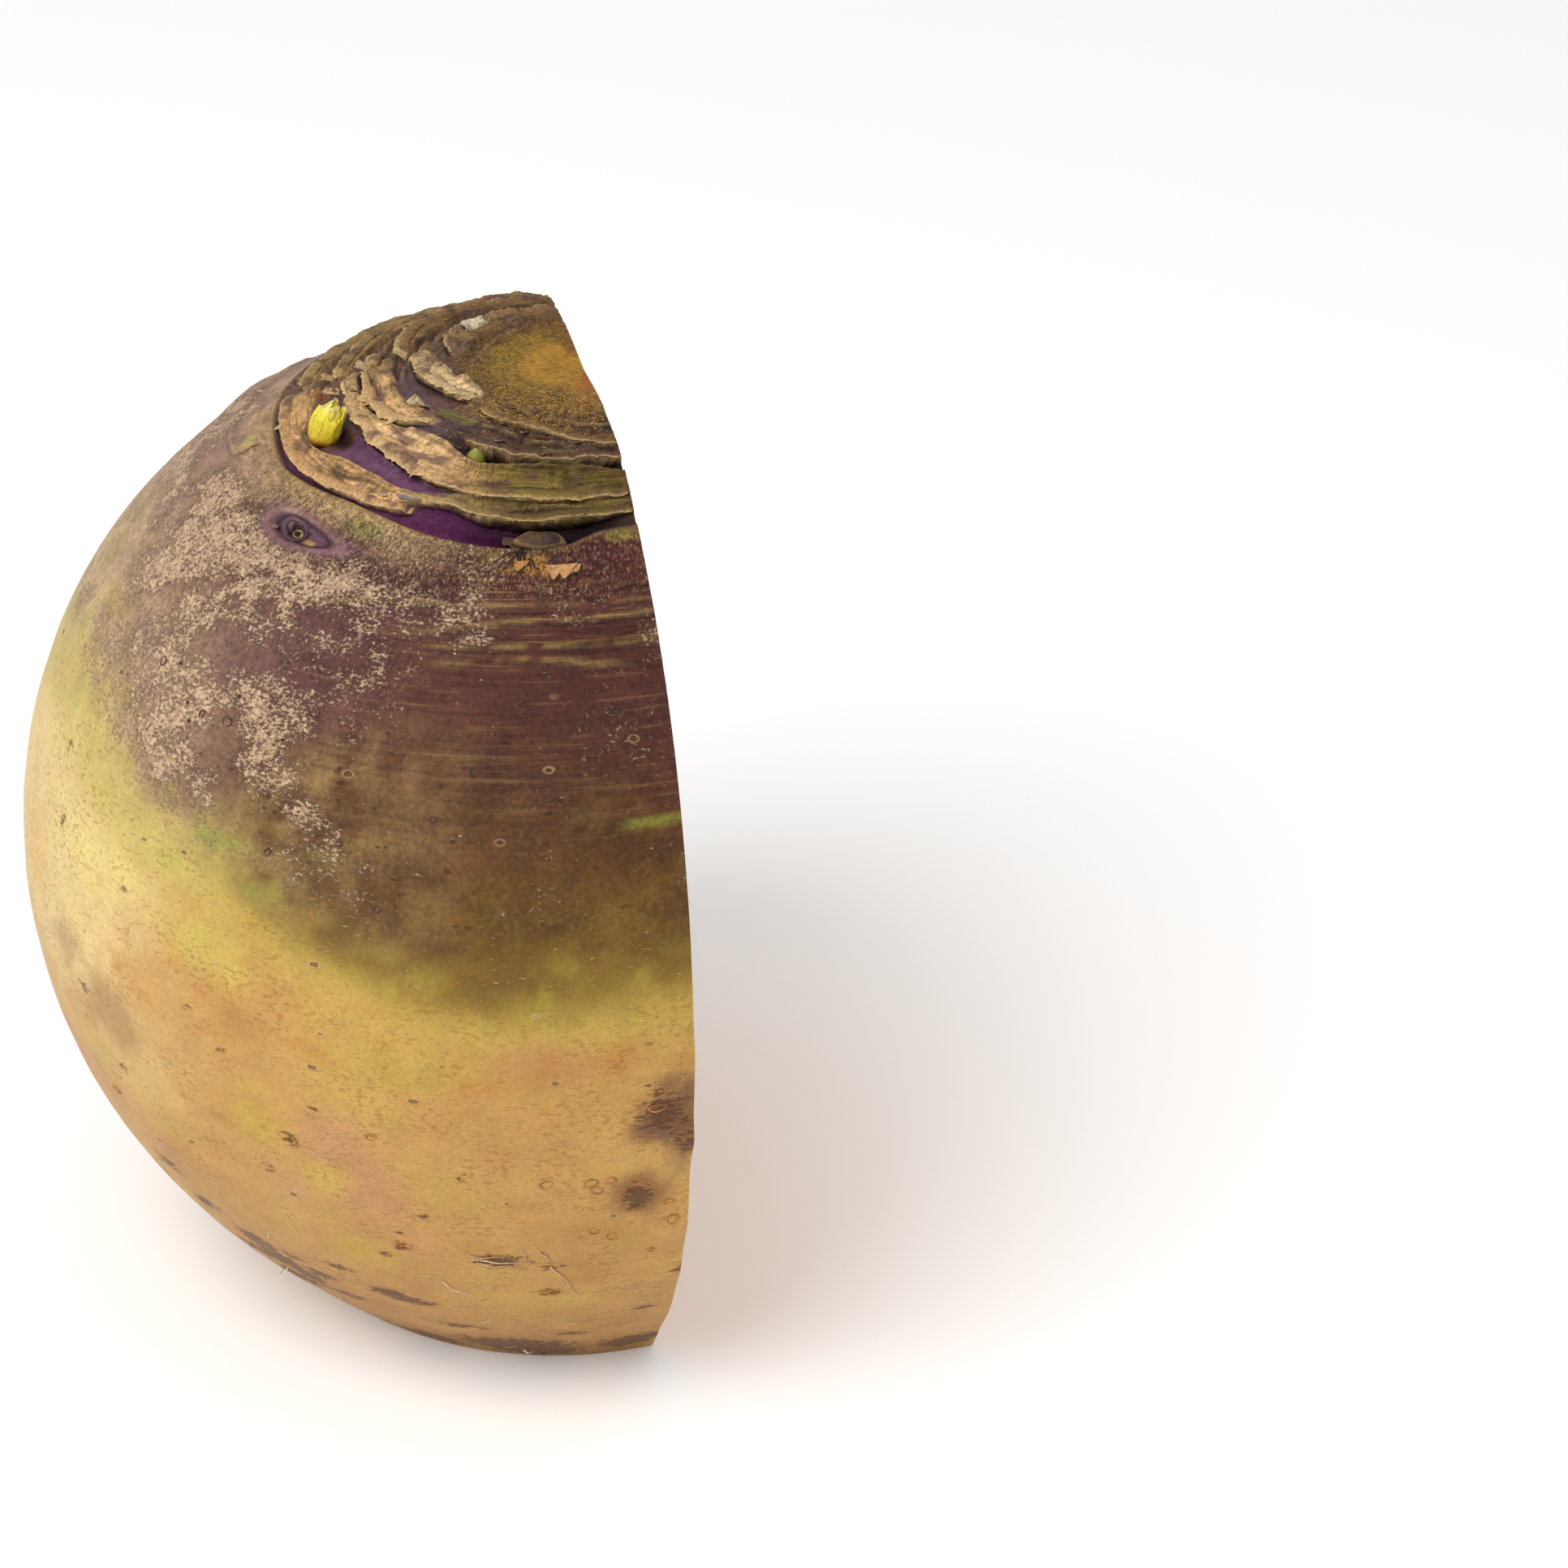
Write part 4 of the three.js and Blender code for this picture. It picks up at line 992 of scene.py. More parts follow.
def add_pores(skin, colour, heights):
    """Open pores with pale rims, dark pin pricks on rough skin, and soft brown specks lower down."""
    dots = skin.cells(skin.flat, 0.26)
    chosen = skin.node("ShaderNodeSeparateColor", {"Color": dots["Color"]}).outputs[0]
    pitted = skin.product(skin.between(chosen, 0.45, 0.5), skin.stored("pores"))
    away = skin.total((dots["Distance"], 1.0), (skin.fine, 0.12))
    pore = skin.product(skin.between(away, 0.145, 0.115), pitted)
    rim = skin.product(skin.between(away, 0.12, 0.15), skin.between(away, 0.215, 0.17), pitted)
    colour = skin.coat(colour, (196, 160, 112), 0.4, rim)
    colour = skin.coat(colour, (96, 62, 44), 0.65, pore)
    dots = skin.cells(skin.flat, 0.62)
    chosen = skin.node("ShaderNodeSeparateColor", {"Color": dots["Color"]}).outputs[1]
    away = skin.total((dots["Distance"], 1.0), (skin.fine, 0.3))
    rugged = skin.product(skin.stored("pores"), skin.between(skin.stored("ripe"), 0.7, 0.0))
    rough = skin.total((rugged, 0.6), (skin.stored("scurf"), 0.8), (skin.stored("fold"), 0.5))
    prick = skin.product(skin.between(chosen, 0.52, 0.58), skin.between(away, 0.31, 0.24), rough)
    colour = skin.coat(colour, (72, 46, 40), 0.75, prick)
    heights += [(pore, -0.9), (rim, 0.5), (prick, -1.0)]
    speck = skin.between(skin.cells(skin.solid, 0.75)["Distance"], 0.20, 0.10)
    some = skin.between(skin.coarse, 0.5, 0.6)
    return skin.coat(colour, (150, 100, 58), 0.35, speck, some, skin.stored("pores"))


def add_freckles(skin, colour, heights):
    """Crowds of rusty freckles, and pale hairlines with a painted glint, on the yellow skin."""
    ripe = skin.stored("ripe")
    crowd = skin.between(skin.noise(skin.solid, 0.17, 2, 0.5), 0.46, 0.6)
    freckle = skin.product(skin.between(skin.noise(skin.flat, 1.7, 3, 0.6), 0.565, 0.63), crowd, ripe)
    hairs = skin.noise(skin.scaled(skin.map, (0.9, 3.2, 1), (0, 0, 0.5)), 1.1, 3, 0.6)
    # Pale hairlines, made lighter still as a painted glint.
    glint = skin.product(skin.between(hairs, 0.615, 0.67), ripe)
    heights += [(freckle, -0.4), (glint, 0.8)]
    colour = skin.coat(colour, (178, 112, 54), 0.5, freckle)
    return skin.coat(colour, (232, 198, 128), 0.5, glint)


def add_scabs(skin, colour, heights):
    """Brown stains with a dark, torn crust in their middle."""
    bark = skin.noise(skin.scaled(skin.map, (0.5, 1, 1)), 1.5, 6, 0.7)
    scab = skin.total((skin.stored("scab"), 1.0), (bark, 1.9))
    on_scab = skin.between(skin.stored("scab"), 0.02, 0.16)
    crust = skin.product(skin.between(scab, 1.4, 1.58), on_scab)
    heights += [(crust, 0.6)]
    colour = skin.coat(colour, (146, 98, 54), 0.5, skin.between(scab, 1.1, 1.55), on_scab)
    return skin.coat(colour, (90, 58, 40), 0.75, crust)


def skin_material():
    """Rutabaga skin: the stored tones, mottled, and over them wrinkles, scurf, cracks, pores, freckles
    and scabs, each raised or sunk. Cork and flakes are duller than the skin, and folds shine."""
    skin = Finish("rutabaga_skin")
    skin.map = skin.node("ShaderNodeUVMap", uv_map="skin_map").outputs[0]
    skin.flat = skin.scaled(skin.map, (0.78, 1, 1))
    skin.fine = skin.noise(skin.solid, 1.6, 5, 0.65)
    skin.coarse = skin.noise(skin.solid, 0.22, 4, 0.6)
    mottling = skin.between(skin.total((skin.fine, 0.6), (skin.coarse, 0.4)), 0.34, 0.66, 0.56, 1.18)
    colour = skin.shaded(skin.between(skin.stored("ripe"), 0.0, 1.0, 1.0, 0.34), mottling)
    heights = [(skin.fine, 0.7)]
    for add in (add_wrinkles, add_scurf, add_cracks, add_pores, add_freckles, add_scabs):
        colour = add(skin, colour, heights)
    dull = skin.total((skin.flakes, 0.22), (skin.stored("cork"), 0.26), (skin.fine, 0.2),
                      (skin.stored("fold"), -0.14))
    return skin.done(colour, skin.math("ADD", dull, 0.33), 0.15, skin.total(*heights),
                     bump=(0.85, 0.26), light=(0.06, (1.0, 0.5, 0.25), 2))


def flesh_material():
    """Moist cut flesh: the stored tones with fine fibre streaks, pale veins and orange flecks."""
    flesh = Finish("rutabaga_flesh")
    fine = flesh.noise(flesh.solid, 1.3, 5, 0.6)
    marble = flesh.noise(flesh.solid, 0.16, 5, 0.62)
    streak = flesh.noise(flesh.scaled(flesh.solid, (1, 0.9, 0.25), (0.5, 0, 0)), 0.5, 5, 0.6)
    level = flesh.between(flesh.total((fine, 0.35), (marble, 0.4), (streak, 0.25)), 0.36, 0.64, 0.9, 1.08)
    colour = flesh.shaded(1.0, level)
    colour = flesh.coat(colour, (242, 212, 156), 0.25, flesh.between(streak, 0.55, 0.72))
    flecks = flesh.between(flesh.noise(flesh.solid, 0.42, 3, 0.5), 0.60, 0.70)
    colour = flesh.coat(colour, (222, 140, 44), 0.45, flecks)
    height = flesh.total((fine, 0.5), (streak, 0.5))
    return flesh.done(colour, flesh.between(fine, 0.3, 0.7, 0.34, 0.5), 0.5, height,
                      bump=(0.5, 0.12), light=(0.18, (1.0, 0.55, 0.2), 4))


root.data.materials.append(skin_material())
root.data.materials.append(flesh_material())


# ---- Torn lips ----------------------------------------------------------------------------------
# The dry torn edges of the leaf bases: papery sheets that run out of the outer edge of each scar and
# hang or curl over the fold below. They are part of the grown root.

LIP_REACH = {  # how far each sheet stands out from its scar, in mm
    "inner rim": 0.3, "dark rim": 0.35, "cream crescent": 0.7, "torn leaf": 0.8, "olive ledge": 0.6,
    "thin ledge": 0.35, "bud ledge": 0.25, "far inner": 0.6, "far middle": 0.55, "far ledge": 0.5,
    "far outer": 0.4
}
LIP_STEPS = np.array([-0.9, -0.35, 0.0, 0.4, 0.75, 1.0])  # mm inside the edge, then shares of the reach


def triangles(faces):
    """Quads as pairs of triangles."""
    return np.concatenate([faces[:, [0, 1, 2]], faces[:, [0, 2, 3]]])


def sheet(top, thick, tone):
    """Closed thin sheet under a grid of points: the grid, its copy moved by thick, and four sides.
    Returns points, faces and tones, the grid's tone being the copy's too."""
    ids = np.arange(top[..., 0].size).reshape(top.shape[:2])
    low = ids + ids.size
    faces = [quads(ids), quads(low)[:, ::-1]]
    for edge, under in ((ids[0], low[0]), (ids[-1, ::-1], low[-1, ::-1]), (ids[::-1, 0], low[::-1, 0]),
                        (ids[:, -1], low[:, -1])):
        faces.append(np.stack([edge[1:], edge[:-1], under[:-1], under[1:]], -1))
    points = np.concatenate([top.reshape(-1, 3), (top + thick).reshape(-1, 3)])
    return points, triangles(np.concatenate(faces)), np.concatenate([tone.reshape(-1, tone.shape[-1])] * 2)


def toned_piece(name, parts, material):
    """One piece made of many (points, faces, tones), with its material."""
    points, faces, tones = zip(*parts)
    starts = np.cumsum([0] + [len(some) for some in points[:-1]])
    faces = np.concatenate([some + start for some, start in zip(faces, starts)])
    piece = put_mesh(name, np.concatenate(points), [faces])
    put_values(piece.data, "tone", np.concatenate(tones))
    piece.data.materials.append(material)
    return piece


def unit(vectors):
    """The same directions, of length 1."""
    return vectors / np.linalg.norm(vectors, axis=-1, keepdims=True)


def outward(turn, run):
    """Unit vector that points away from the smooth root, for each turn and run."""
    return unit(skin_point(turn, run, 1.0) - skin_point(turn, run, 0.0))


def lip_sheet(number, name, scar):
    """The sheet of one scar: from inside the band, over its edge, and out to a ragged, curled end that is
    painted paler as a painted highlight.
    """
    start, stop = scar["outer"][0][0], scar["outer"][-1][0]
    turn = np.arange(max(start + 3, 0.6), min(stop - 3, 179.4), 0.3)
    _, outer, ends = scar_edges(number, scar, turn)
    lift = crown_relief(turn, outer - 0.3)[0] + flank_relief(turn, outer - 0.3)
    torn = cloud(turn / 4, 0 * turn, 900 + number)
    teeth = cloud(turn / 0.9, 0 * turn, 920 + number)
    frayed = smooth(cloud(turn / 7, 0 * turn, 930 + number), 0.1, 0.4)
    teeth = 0.5 * np.maximum(teeth, 0) ** 2 + 0.8 * smooth(teeth, 0.5, 0.6)
    reach = LIP_REACH[name] * (0.65 + 0.9 * torn + teeth * (0.08 + frayed))
    reach = np.clip(reach, 0.05, 2.4 * LIP_REACH[name]) * ends * (0.6 + 0.4 * smooth(turn, 36, 50))
    curl = 0.35 * cloud(turn / 6, 0 * turn, 940 + number)
    out = np.maximum(LIP_STEPS, 0)[:, None]
    runs = outer + np.minimum(LIP_STEPS, 0)[:, None] + reach * out
    turns = turn + 0 * runs
    above = lift + np.interp(LIP_STEPS, [-0.9, -0.35, 0.0, 1.0], [-0.25, 0.08, 0.14, 0.06])[:, None]
    above = above + curl * reach * out**2 + 0.05 * cloud(turns / 1.2, runs / 0.6, 960 + number)
    thick = np.interp(LIP_STEPS, [-0.9, 0.2, 1.0], [0.22, 0.12, 0.05])[:, None, None]
    # Painted highlight: each sheet turns paler towards its free end. The dark patches are its own stains.
    tone = painted(gradient(turns, SCAR_COLOURS[name]), [
        ((104, 76, 66), 0.75 * smooth(cloud(turns / 3.5, runs / 1.2, 980), 0.0, 0.5)),
        ((218, 188, 134), 0.75 * out**2 + 0 * runs)]) ** 1.15
    return sheet(skin_point(turns, runs, above, 0.3 * out + 0 * runs), -thick * outward(turns, runs), tone)


def papery_material(name, rough, fibre, through):
    """Dry or fresh leaf tissue: the stored tones with fine fibres, slightly lit from behind."""
    leaf = Finish(name)
    fine = leaf.noise(leaf.solid, 2.6, 4, 0.6)
    colour = leaf.shaded(1.0, leaf.between(fine, 0.34, 0.66, 1 - fibre, 1.06))
    return leaf.done(colour, rough, 0.3, fine, bump=(0.6, 0.1), light=(through, (1.0, 0.8, 0.3), 1))


dry_leaf = papery_material("dry_leaf", 0.7, 0.4, 0.0)
lip_sheets = [lip_sheet(number, name, scar) for number, (name, scar) in enumerate(SCARS.items())]
lips = toned_piece("torn_lips", lip_sheets, dry_leaf)
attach(lips, "root")
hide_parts("rutabaga_half")


# ---- Buds ---------------------------------------------------------------------------------------
# Live buds that grow out of the leaf axils: a fluted core wrapped in pointed scale leaves, juicy and
# yellow-green, with a brown foot that is one with the crown.

BUDS = [  # turn, run, height, width in mm, lean, scale leaves, share of the core, seed, colours
    (83.0, 30.0, 5.5, 4.3, -0.58, 5, 0.84, 1,
     [(0, 92, 54, 24), (0.1, 156, 100, 32), (0.22, 206, 178, 34), (0.7, 228, 208, 56), (1, 240, 224, 140)]),
    (42.6, 22.7, 2.5, 2.5, 0.1, 0, 0.96, 2,
     [(0, 84, 62, 26), (0.35, 112, 112, 28), (0.8, 134, 132, 40), (1, 176, 168, 96)]),
    (119.0, 21.3, 2.0, 1.8, 0.0, 4, 0.74, 3, [(0, 110, 110, 40), (0.3, 166, 170, 30), (1, 206, 208, 110)])
]
BUD_ROWS = 12
BUD_SIDES = 20


def capped(grid, first, last, values):
    """Closed form from a grid that meets itself at its two sides: its first and last row are drawn
    to a point each. values holds a row for each point of the grid, framed by those of the two."""
    ids = 1 + np.arange(grid[..., 0].size).reshape(grid.shape[:2])
    wrap = np.concatenate([ids, ids[:, :1]], 1)
    faces = np.concatenate([triangles(quads(wrap)), fan(0, wrap[0]), fan(ids.size + 1, wrap[-1, ::-1])])
    return np.concatenate([[first], grid.reshape(-1, 3), [last]]), faces, values


def bud_core(tall, wide, leaves):
    """The swollen middle of a bud, fluted where leaves wrap it, with how far up it each point is."""
    up = np.linspace(0, 1, BUD_ROWS)[:, None]
    around = np.linspace(0, 2 * np.pi, BUD_SIDES + 1)[None, :-1]
    radius = wide / 2 * np.sqrt(np.clip(1 - (2 * up - 0.9) ** 2 * 0.8, 0, 1)) * (1 - up**6)
    radius = radius * (1 + 0.06 * np.cos(5 * around + 2 * up) * (leaves > 0))
    grid = np.stack([radius * np.cos(around), radius * np.sin(around),
                     tall * (0.9 if leaves else 1.0) * up + 0 * around], -1)
    level = np.concatenate([[0], np.repeat(up[:, 0], BUD_SIDES), [1]])[:, None]
    return capped(grid, grid[0].mean(0), grid[-1].mean(0), level)


def bud_leaf(turned, width, height, tip, seed, bulge):
    """One scale leaf of a bud, seen from the bud's axis: a wrinkled spoon wrapped round it, with a
    frayed end that leans in over the top."""
    up = np.linspace(0, 1, 17)[:, None]
    side = np.linspace(-1, 1, 19)[None, :]
    frill = tip * (1 - 0.3 * np.abs(side) ** 2.2) * (1 + 0.2 * cloud(side * 4.1, 0 * side, seed))
    z = height * up * frill
    level = np.clip(z / height, 0, 1)
    radius = width / 2 * bulge * np.sqrt(np.clip(0.5 + 2.3 * level - 2.7 * level**2, 0.03, 2)) * 0.95
    angle = turned + side * (1.3 - 0.3 * up)
    wrinkles = cloud(side * 7, up * 1.2, seed + 5)
    crumple = cloud(side * 1.7 + seed, up * 1.6 + seed, 870 + seed)
    radius = radius * (1 + 0.06 * (1 - side**2) + 0.035 * wrinkles + 0.14 * crumple)
    radius = radius + 0.07 * width * hump(side - 0.2, 0.14) * (0.3 + 0.7 * up)
    centre = np.stack([np.cos(angle), np.sin(angle), 0 * angle], -1)
    grid = radius[..., None] * centre
    grid[..., 2] = z
    return sheet(grid, -0.16 * centre, np.broadcast_to(level, angle.shape)[..., None])


def bud_parts(turn, run, tall, wide, lean, leaves, core_share, seed, colours):
    """Points, faces and tones of one bud, standing upright on the skin at a turn and run."""
    rng = np.random.default_rng(700 + seed)
    foot = on_skin(np.array([turn]), np.array([run]), -0.6)[0]
    axis = unit(outward(np.array([turn]), np.array([run]))[0] * (0.25 + lean) + [0, 0, 1.0])
    right = unit(np.cross([0, 1.0, 0], axis))
    axes = np.stack([right, np.cross(axis, right), axis])
    parts = [bud_core(tall, wide * core_share, leaves)]
    for number in range(leaves):
        turned = 2 * np.pi * (number * 0.38 + rng.uniform(0, 0.08)) + seed
        share, leaf_seed = number / leaves, 760 + 10 * seed + number
        parts.append(bud_leaf(turned, wide, tall, 1.0 - 0.34 * share, leaf_seed, 0.78 + 0.24 * share))
    for points, faces, level in parts:
        points = points @ axes + foot + 0.16 * tall * (leaves > 3) * (level**2 - 0.4) * right
        tone = gradient(level[:, 0], colours)
        spots = smooth(cloud(points[:, 1] / 0.7, points[:, 2] / 2.2, 790 + seed), 0.2, 0.6)
        yield points, faces, paint(tone, tone * 0.6, 0.7 * spots)


bud_leaf_finish = papery_material("bud_leaf", 0.42, 0.22, 0.25)
buds = toned_piece("buds", [part for bud in BUDS for part in bud_parts(*bud)], bud_leaf_finish)
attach(buds, "root")
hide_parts("rutabaga_half")


# ---- Papery flakes ------------------------------------------------------------------------------
# Dry scraps of leaf base and bud scale that still cling to the crown by one edge: thin, curled and
# ragged tissue. With them goes the corky blister that swells in the deep groove.

FLAKES = [  # turn, run, length round and down in mm, tilt up in mm, rise off the skin, colour
    (73, 19.6, 1.5, 1.9, 1.3, 0.2, (222, 200, 158)), (142, 16.6, 3.6, 1.3, 0.6, 0.3, (208, 192, 160)),
    (25, 33.8, 2.6, 1.8, 0.6, 0.2, (98, 70, 52)), (48, 31.7, 3.0, 0.8, 0.4, 0.12, (140, 124, 128)),
    (54, 31.9, 1.2, 0.5, 0.3, 0.15, (180, 160, 146)), (100, 27.4, 1.6, 1.8, 0.8, 0.1, (206, 172, 120)),
    (104, 29.7, 1.8, 1.2, 0.7, 0.1, (200, 138, 96)), (109, 28.4, 1.8, 1.4, 0.9, 0.1, (190, 158, 104)),
    (95, 24.6, 1.6, 1.2, 0.7, 0.2, (176, 150, 110)), (104, 23.6, 2.2, 1.3, 0.9, 0.2, (186, 160, 118)),
    (113, 20.2, 2.0, 1.3, 0.9, 0.2, (190, 164, 120)), (84, 20.6, 1.2, 0.9, 0.6, 0.1, (206, 184, 140)),
    (14, 20.6, 1.3, 0.7, 0.4, 0.15, (150, 124, 92)), (31, 19.0, 1.2, 0.8, 0.5, 0.15, (146, 118, 88)),
    (9, 24.8, 1.5, 0.6, 0.4, 0.1, (156, 130, 96)), (22, 22.6, 1.6, 0.7, 0.5, 0.15, (124, 92, 84)),
    (37, 20.8, 1.4, 0.8, 0.5, 0.1, (150, 130, 116)), (66, 33.6, 1.6, 0.7, 0.4, 0.1, (198, 172, 130)),
    (12, 31.6, 1.8, 0.7, 0.4, 0.1, (150, 132, 84)), (97, 14.4, 1.2, 0.8, 0.4, 0.1, (216, 206, 196)),
    (124, 24.9, 1.6, 0.8, 0.3, 0.05, (160, 132, 90)), (138, 27.4, 1.8, 0.9, 0.3, 0.05, (152, 126, 84)),
    (160, 23.0, 1.6, 0.8, 0.3, 0.05, (156, 130, 92)), (168, 18.4, 1.6, 0.8, 0.3, 0.05, (168, 142, 104)),
    (150, 31.6, 1.4, 0.7, 0.25, 0.05, (150, 124, 84)), (21.5, 38.6, 1.8, 1.3, 0.3, 0.1, (186, 130, 74)),
    (15, 39.2, 3.6, 2.2, 0.5, 0.1, (204, 152, 100)), (12.6, 39.0, 1.5, 1.6, 0.3, 0.2, (196, 146, 98)),
    (68.5, 40.6, 1.0, 0.6, 0.2, 0.1, (120, 96, 84)), (93.5, 37.5, 0.7, 2.6, 0.2, 0.05, (178, 146, 104)),
    (96, 34.6, 0.8, 2.4, 0.2, 0.05, (186, 156, 116))
]


def flake(number, turn, run, wide, down, tilt, rise, colour):
    """One scrap: its root row is sunk in the skin and the rest lifts, curls and ends in a torn edge."""
    along, side = np.meshgrid(np.linspace(0, 1, 9), np.linspace(-1, 1, 11), indexing="ij")
    torn = 1 + 0.35 * cloud(side * 2.3, 0 * side, 1000 + number) - 0.35 * np.abs(side) ** 3
    taper = 1 + 0.25 * cloud(along * 2.1, 0 * along, 1030 + number) - 0.2 * along
    turns = turn + np.degrees(side * taper * wide / 2 / np.interp(run, RUN, RADIUS))
    runs = run + (along * torn - 0.5) * down
    lift = crown_relief(np.array([turn]), np.array([run - down / 2]))[0]
    lift = lift + flank_relief(np.array([turn]), np.array([run]))
    above = lift + rise + tilt * along**1.4 - 0.35 * (1 - smooth(along, 0, 0.15))
    above = above + 0.25 * tilt * side**2 + 0.08 * cloud(side * 3, along * 3, 1060 + number)
    grid = skin_point(turns, runs, above)
    dirt = 0.55 * smooth(cloud(side * 2, along * 2.5, 1090 + number), 0.1, 0.7)
    tone = paint(np.broadcast_to(shade(*colour), grid.shape), shade(90, 62, 48), dirt)
    return sheet(grid, -0.09 * outward(turns, runs), tone)


BLISTER_TURN, BLISTER_RUN = 19.6, 34.0


def blister():
    """The rounded brown swelling that lies in the deep groove: a flat-topped cushion with a thin pale rim,
    its underside sunk in the skin. Its half at lower turns is painted darker, as painted shade."""
    share = np.linspace(0.1, 1, 10)[:, None]
    around = np.radians(np.arange(360, 0, -10))[None]
    dent = 1 + 0.1 * np.sin(2 * around + 1) + 0.06 * np.sin(5 * around)
    across, down = 3.0 * share * dent * np.cos(around), 1.35 * share * dent * np.sin(around)
    above = -1.45 + 1.1 * (1 - share**5) + 0.22 * hump(share - 0.84, 0.09) - 0.25 * share
    above = above + 0.12 * cloud(across / 1.2, down / 0.9, 1095)
    turns = BLISTER_TURN + np.degrees(across / np.interp(BLISTER_RUN + 1, RUN, RADIUS))
    grid = skin_point(turns, BLISTER_RUN + down - 0.06 * across, above)
    # Painted shade: the half at lower turns is laid darker.
    tone = painted(np.broadcast_to(shade(84, 60, 38), grid.shape), [
        ((54, 30, 38), smooth(-across, -0.5, 2.4)),
        ((176, 142, 92), 0.75 * hump(share - 0.86, 0.08) + 0 * across)])
    tones = np.concatenate([[tone[0, 0]], tone.reshape(-1, 3), [tone[-1, 0]]])
    foot = grid[-1].mean(0) - 0.5 * outward(BLISTER_TURN, BLISTER_RUN)
    return capped(grid, grid[0].mean(0), foot, tones)


scraps = [flake(number, *one) for number, one in enumerate(FLAKES)]
flakes = toned_piece("papery_flakes", scraps + [blister()], dry_leaf)
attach(flakes, "root")
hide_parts("rutabaga_half")


# ---- Pock rings ---------------------------------------------------------------------------------
# Small round and oval scars that the skin grew over old pores: each a thin raised rim of brown cork.
# Four more rings wrap the sleeping eye.

POCKS = [  # turn, run, half sizes round and down in mm
    (7, 56.3, 0.9, 0.45), (19, 55.1, 0.6, 0.5), (56, 62.5, 0.6, 0.6), (45, 58.4, 0.7, 0.6),
    (24, 62.7, 0.4, 0.5), (60, 62.9, 0.4, 0.4), (46, 75.1, 0.4, 0.4), (38, 72.3, 0.35, 0.35),
    (28, 68.2, 0.4, 0.3), (52, 54.0, 0.5, 0.4), (70, 60.0, 0.5, 0.5), (33, 79.0, 0.4, 0.35),
    (16, 115.4, 0.8, 0.6), (11.2, 115.5, 0.75, 0.7), (9.1, 115.3, 0.65, 0.6), (10.6, 116.8, 0.7, 0.6),
    (11, 124.3, 0.65, 0.5), (9, 125.7, 0.6, 0.6), (1.8, 123.5, 0.8, 0.7), (2.4, 120.2, 0.75, 0.4),
    (4.2, 129.5, 0.45, 0.4), (17, 137.6, 1.1, 0.6), (17.6, 137.9, 0.6, 0.4), (33, 128.2, 1.0, 0.6),
    (34, 109.1, 0.6, 0.4), (43, 112, 0.6, 0.5), (4, 104.5, 1.0, 0.5), (70, 118, 0.7, 0.6),
    (101, 122, 0.8, 0.7), (104, 123, 0.6, 0.5), (127, 118, 0.8, 0.6), (142, 130, 0.9, 0.6),
    (156, 122, 0.7, 0.7), (168, 141, 0.9, 0.6)
]
EYE_RIMS = [  # turn, run, half sizes round and down, half width in mm, colour: the sleeping eye's rings
    (64.8, 39.75, 1.75, 1.2, 0.3, (92, 66, 74)), (64.9, 39.75, 1.1, 0.75, 0.2, (66, 48, 44)),
    (65.2, 39.8, 0.6, 0.42, 0.14, (176, 156, 92)), (64.6, 39.6, 0.3, 0.3, 0.12, (196, 178, 110))
]


def threads_on(turns, runs, rise, thick, sides, start, tone, loop=False):
    """Threads that follow lines of the skin, rise mm above it: a ring of points round each point of a
    line, thick mm in radius, starting at an angle from the skin, each joined to the next. A thread
    ends in two flat faces, or meets itself in a loop. Returns points, faces and tones."""
    line = on_skin(turns, runs, rise)
    along = unit(np.roll(line, -1, 0) - np.roll(line, 1, 0) if loop else np.gradient(line, axis=-2))
    up = outward(turns, runs)[..., None, :]
    side = np.cross(along, up[..., 0, :])[..., None, :]
    angle = np.radians(start + np.arange(sides) * 360 / sides)[:, None]
    rings = line[..., None, :] + thick[:, None, None] * (side * np.cos(angle) + up * np.sin(angle))
    ids = np.arange(rings[..., 0].size).reshape(rings.shape[:-1])
    wrap = np.concatenate([ids, ids[..., :1]], -1)
    if loop:
        faces = [triangles(quads(np.concatenate([wrap, wrap[:1]]).T))]
    else:
        walls = np.stack([wrap[..., :-1, :-1], wrap[..., 1:, :-1], wrap[..., 1:, 1:], wrap[..., :-1, 1:]], -1)
        faces = [triangles(walls.reshape(-1, 4))]
        for end in (ids[..., 0, :], ids[..., -1, ::-1]):
            hub = np.broadcast_to(end[..., :1], end[..., 2:].shape)
            faces.append(np.stack([hub, end[..., 1:-1], end[..., 2:]], -1).reshape(-1, 3))
    return rings.reshape(-1, 3), np.concatenate(faces), np.broadcast_to(tone, rings.shape).reshape(-1, 3)


def rim_of(number, turn, run, wide, tall, size=0.09, colour=None):
    """A closed thread round an oval on the skin, uneven in width, five-sided in section."""
    around = np.linspace(0, 2 * np.pi, 25)[:-1]
    dent = 1 + 0.12 * np.sin(2 * around + number) + 0.07 * np.sin(3 * around + 2.3 * number)
    radius = np.interp(run, RUN, RADIUS) * SPREAD
    turns = np.clip(turn + np.degrees(wide * dent * np.cos(around) / radius), 0.1, 179.9)
    runs = run + tall * dent * np.sin(around)
    thick = size * (1 + 0.4 * np.sin(around + 1.7 * number))
    colour = colour or ((178, 124, 66) if run > 80 else (84, 58, 52))
    tone = shade(*colour) * (1 + 0.3 * np.sin(around + number))[:, None, None]
    return threads_on(turns, runs, 0.02, thick, 5, 0, tone, loop=True)


rims = [rim_of(number, *one) for number, one in enumerate(POCKS + EYE_RIMS)]
pocks = toned_piece("pock_rings", rims, dry_leaf)
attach(pocks, "root")
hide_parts("rutabaga_half")


# ---- Fibres and rootlets ------------------------------------------------------------------------
# Golden fibres left on the crown by rotted leaves, dark ones that cross the cracked patch, and the
# fine pale rootlets near the trimmed end. All grow out of the skin, and the fibres lie flat on it.

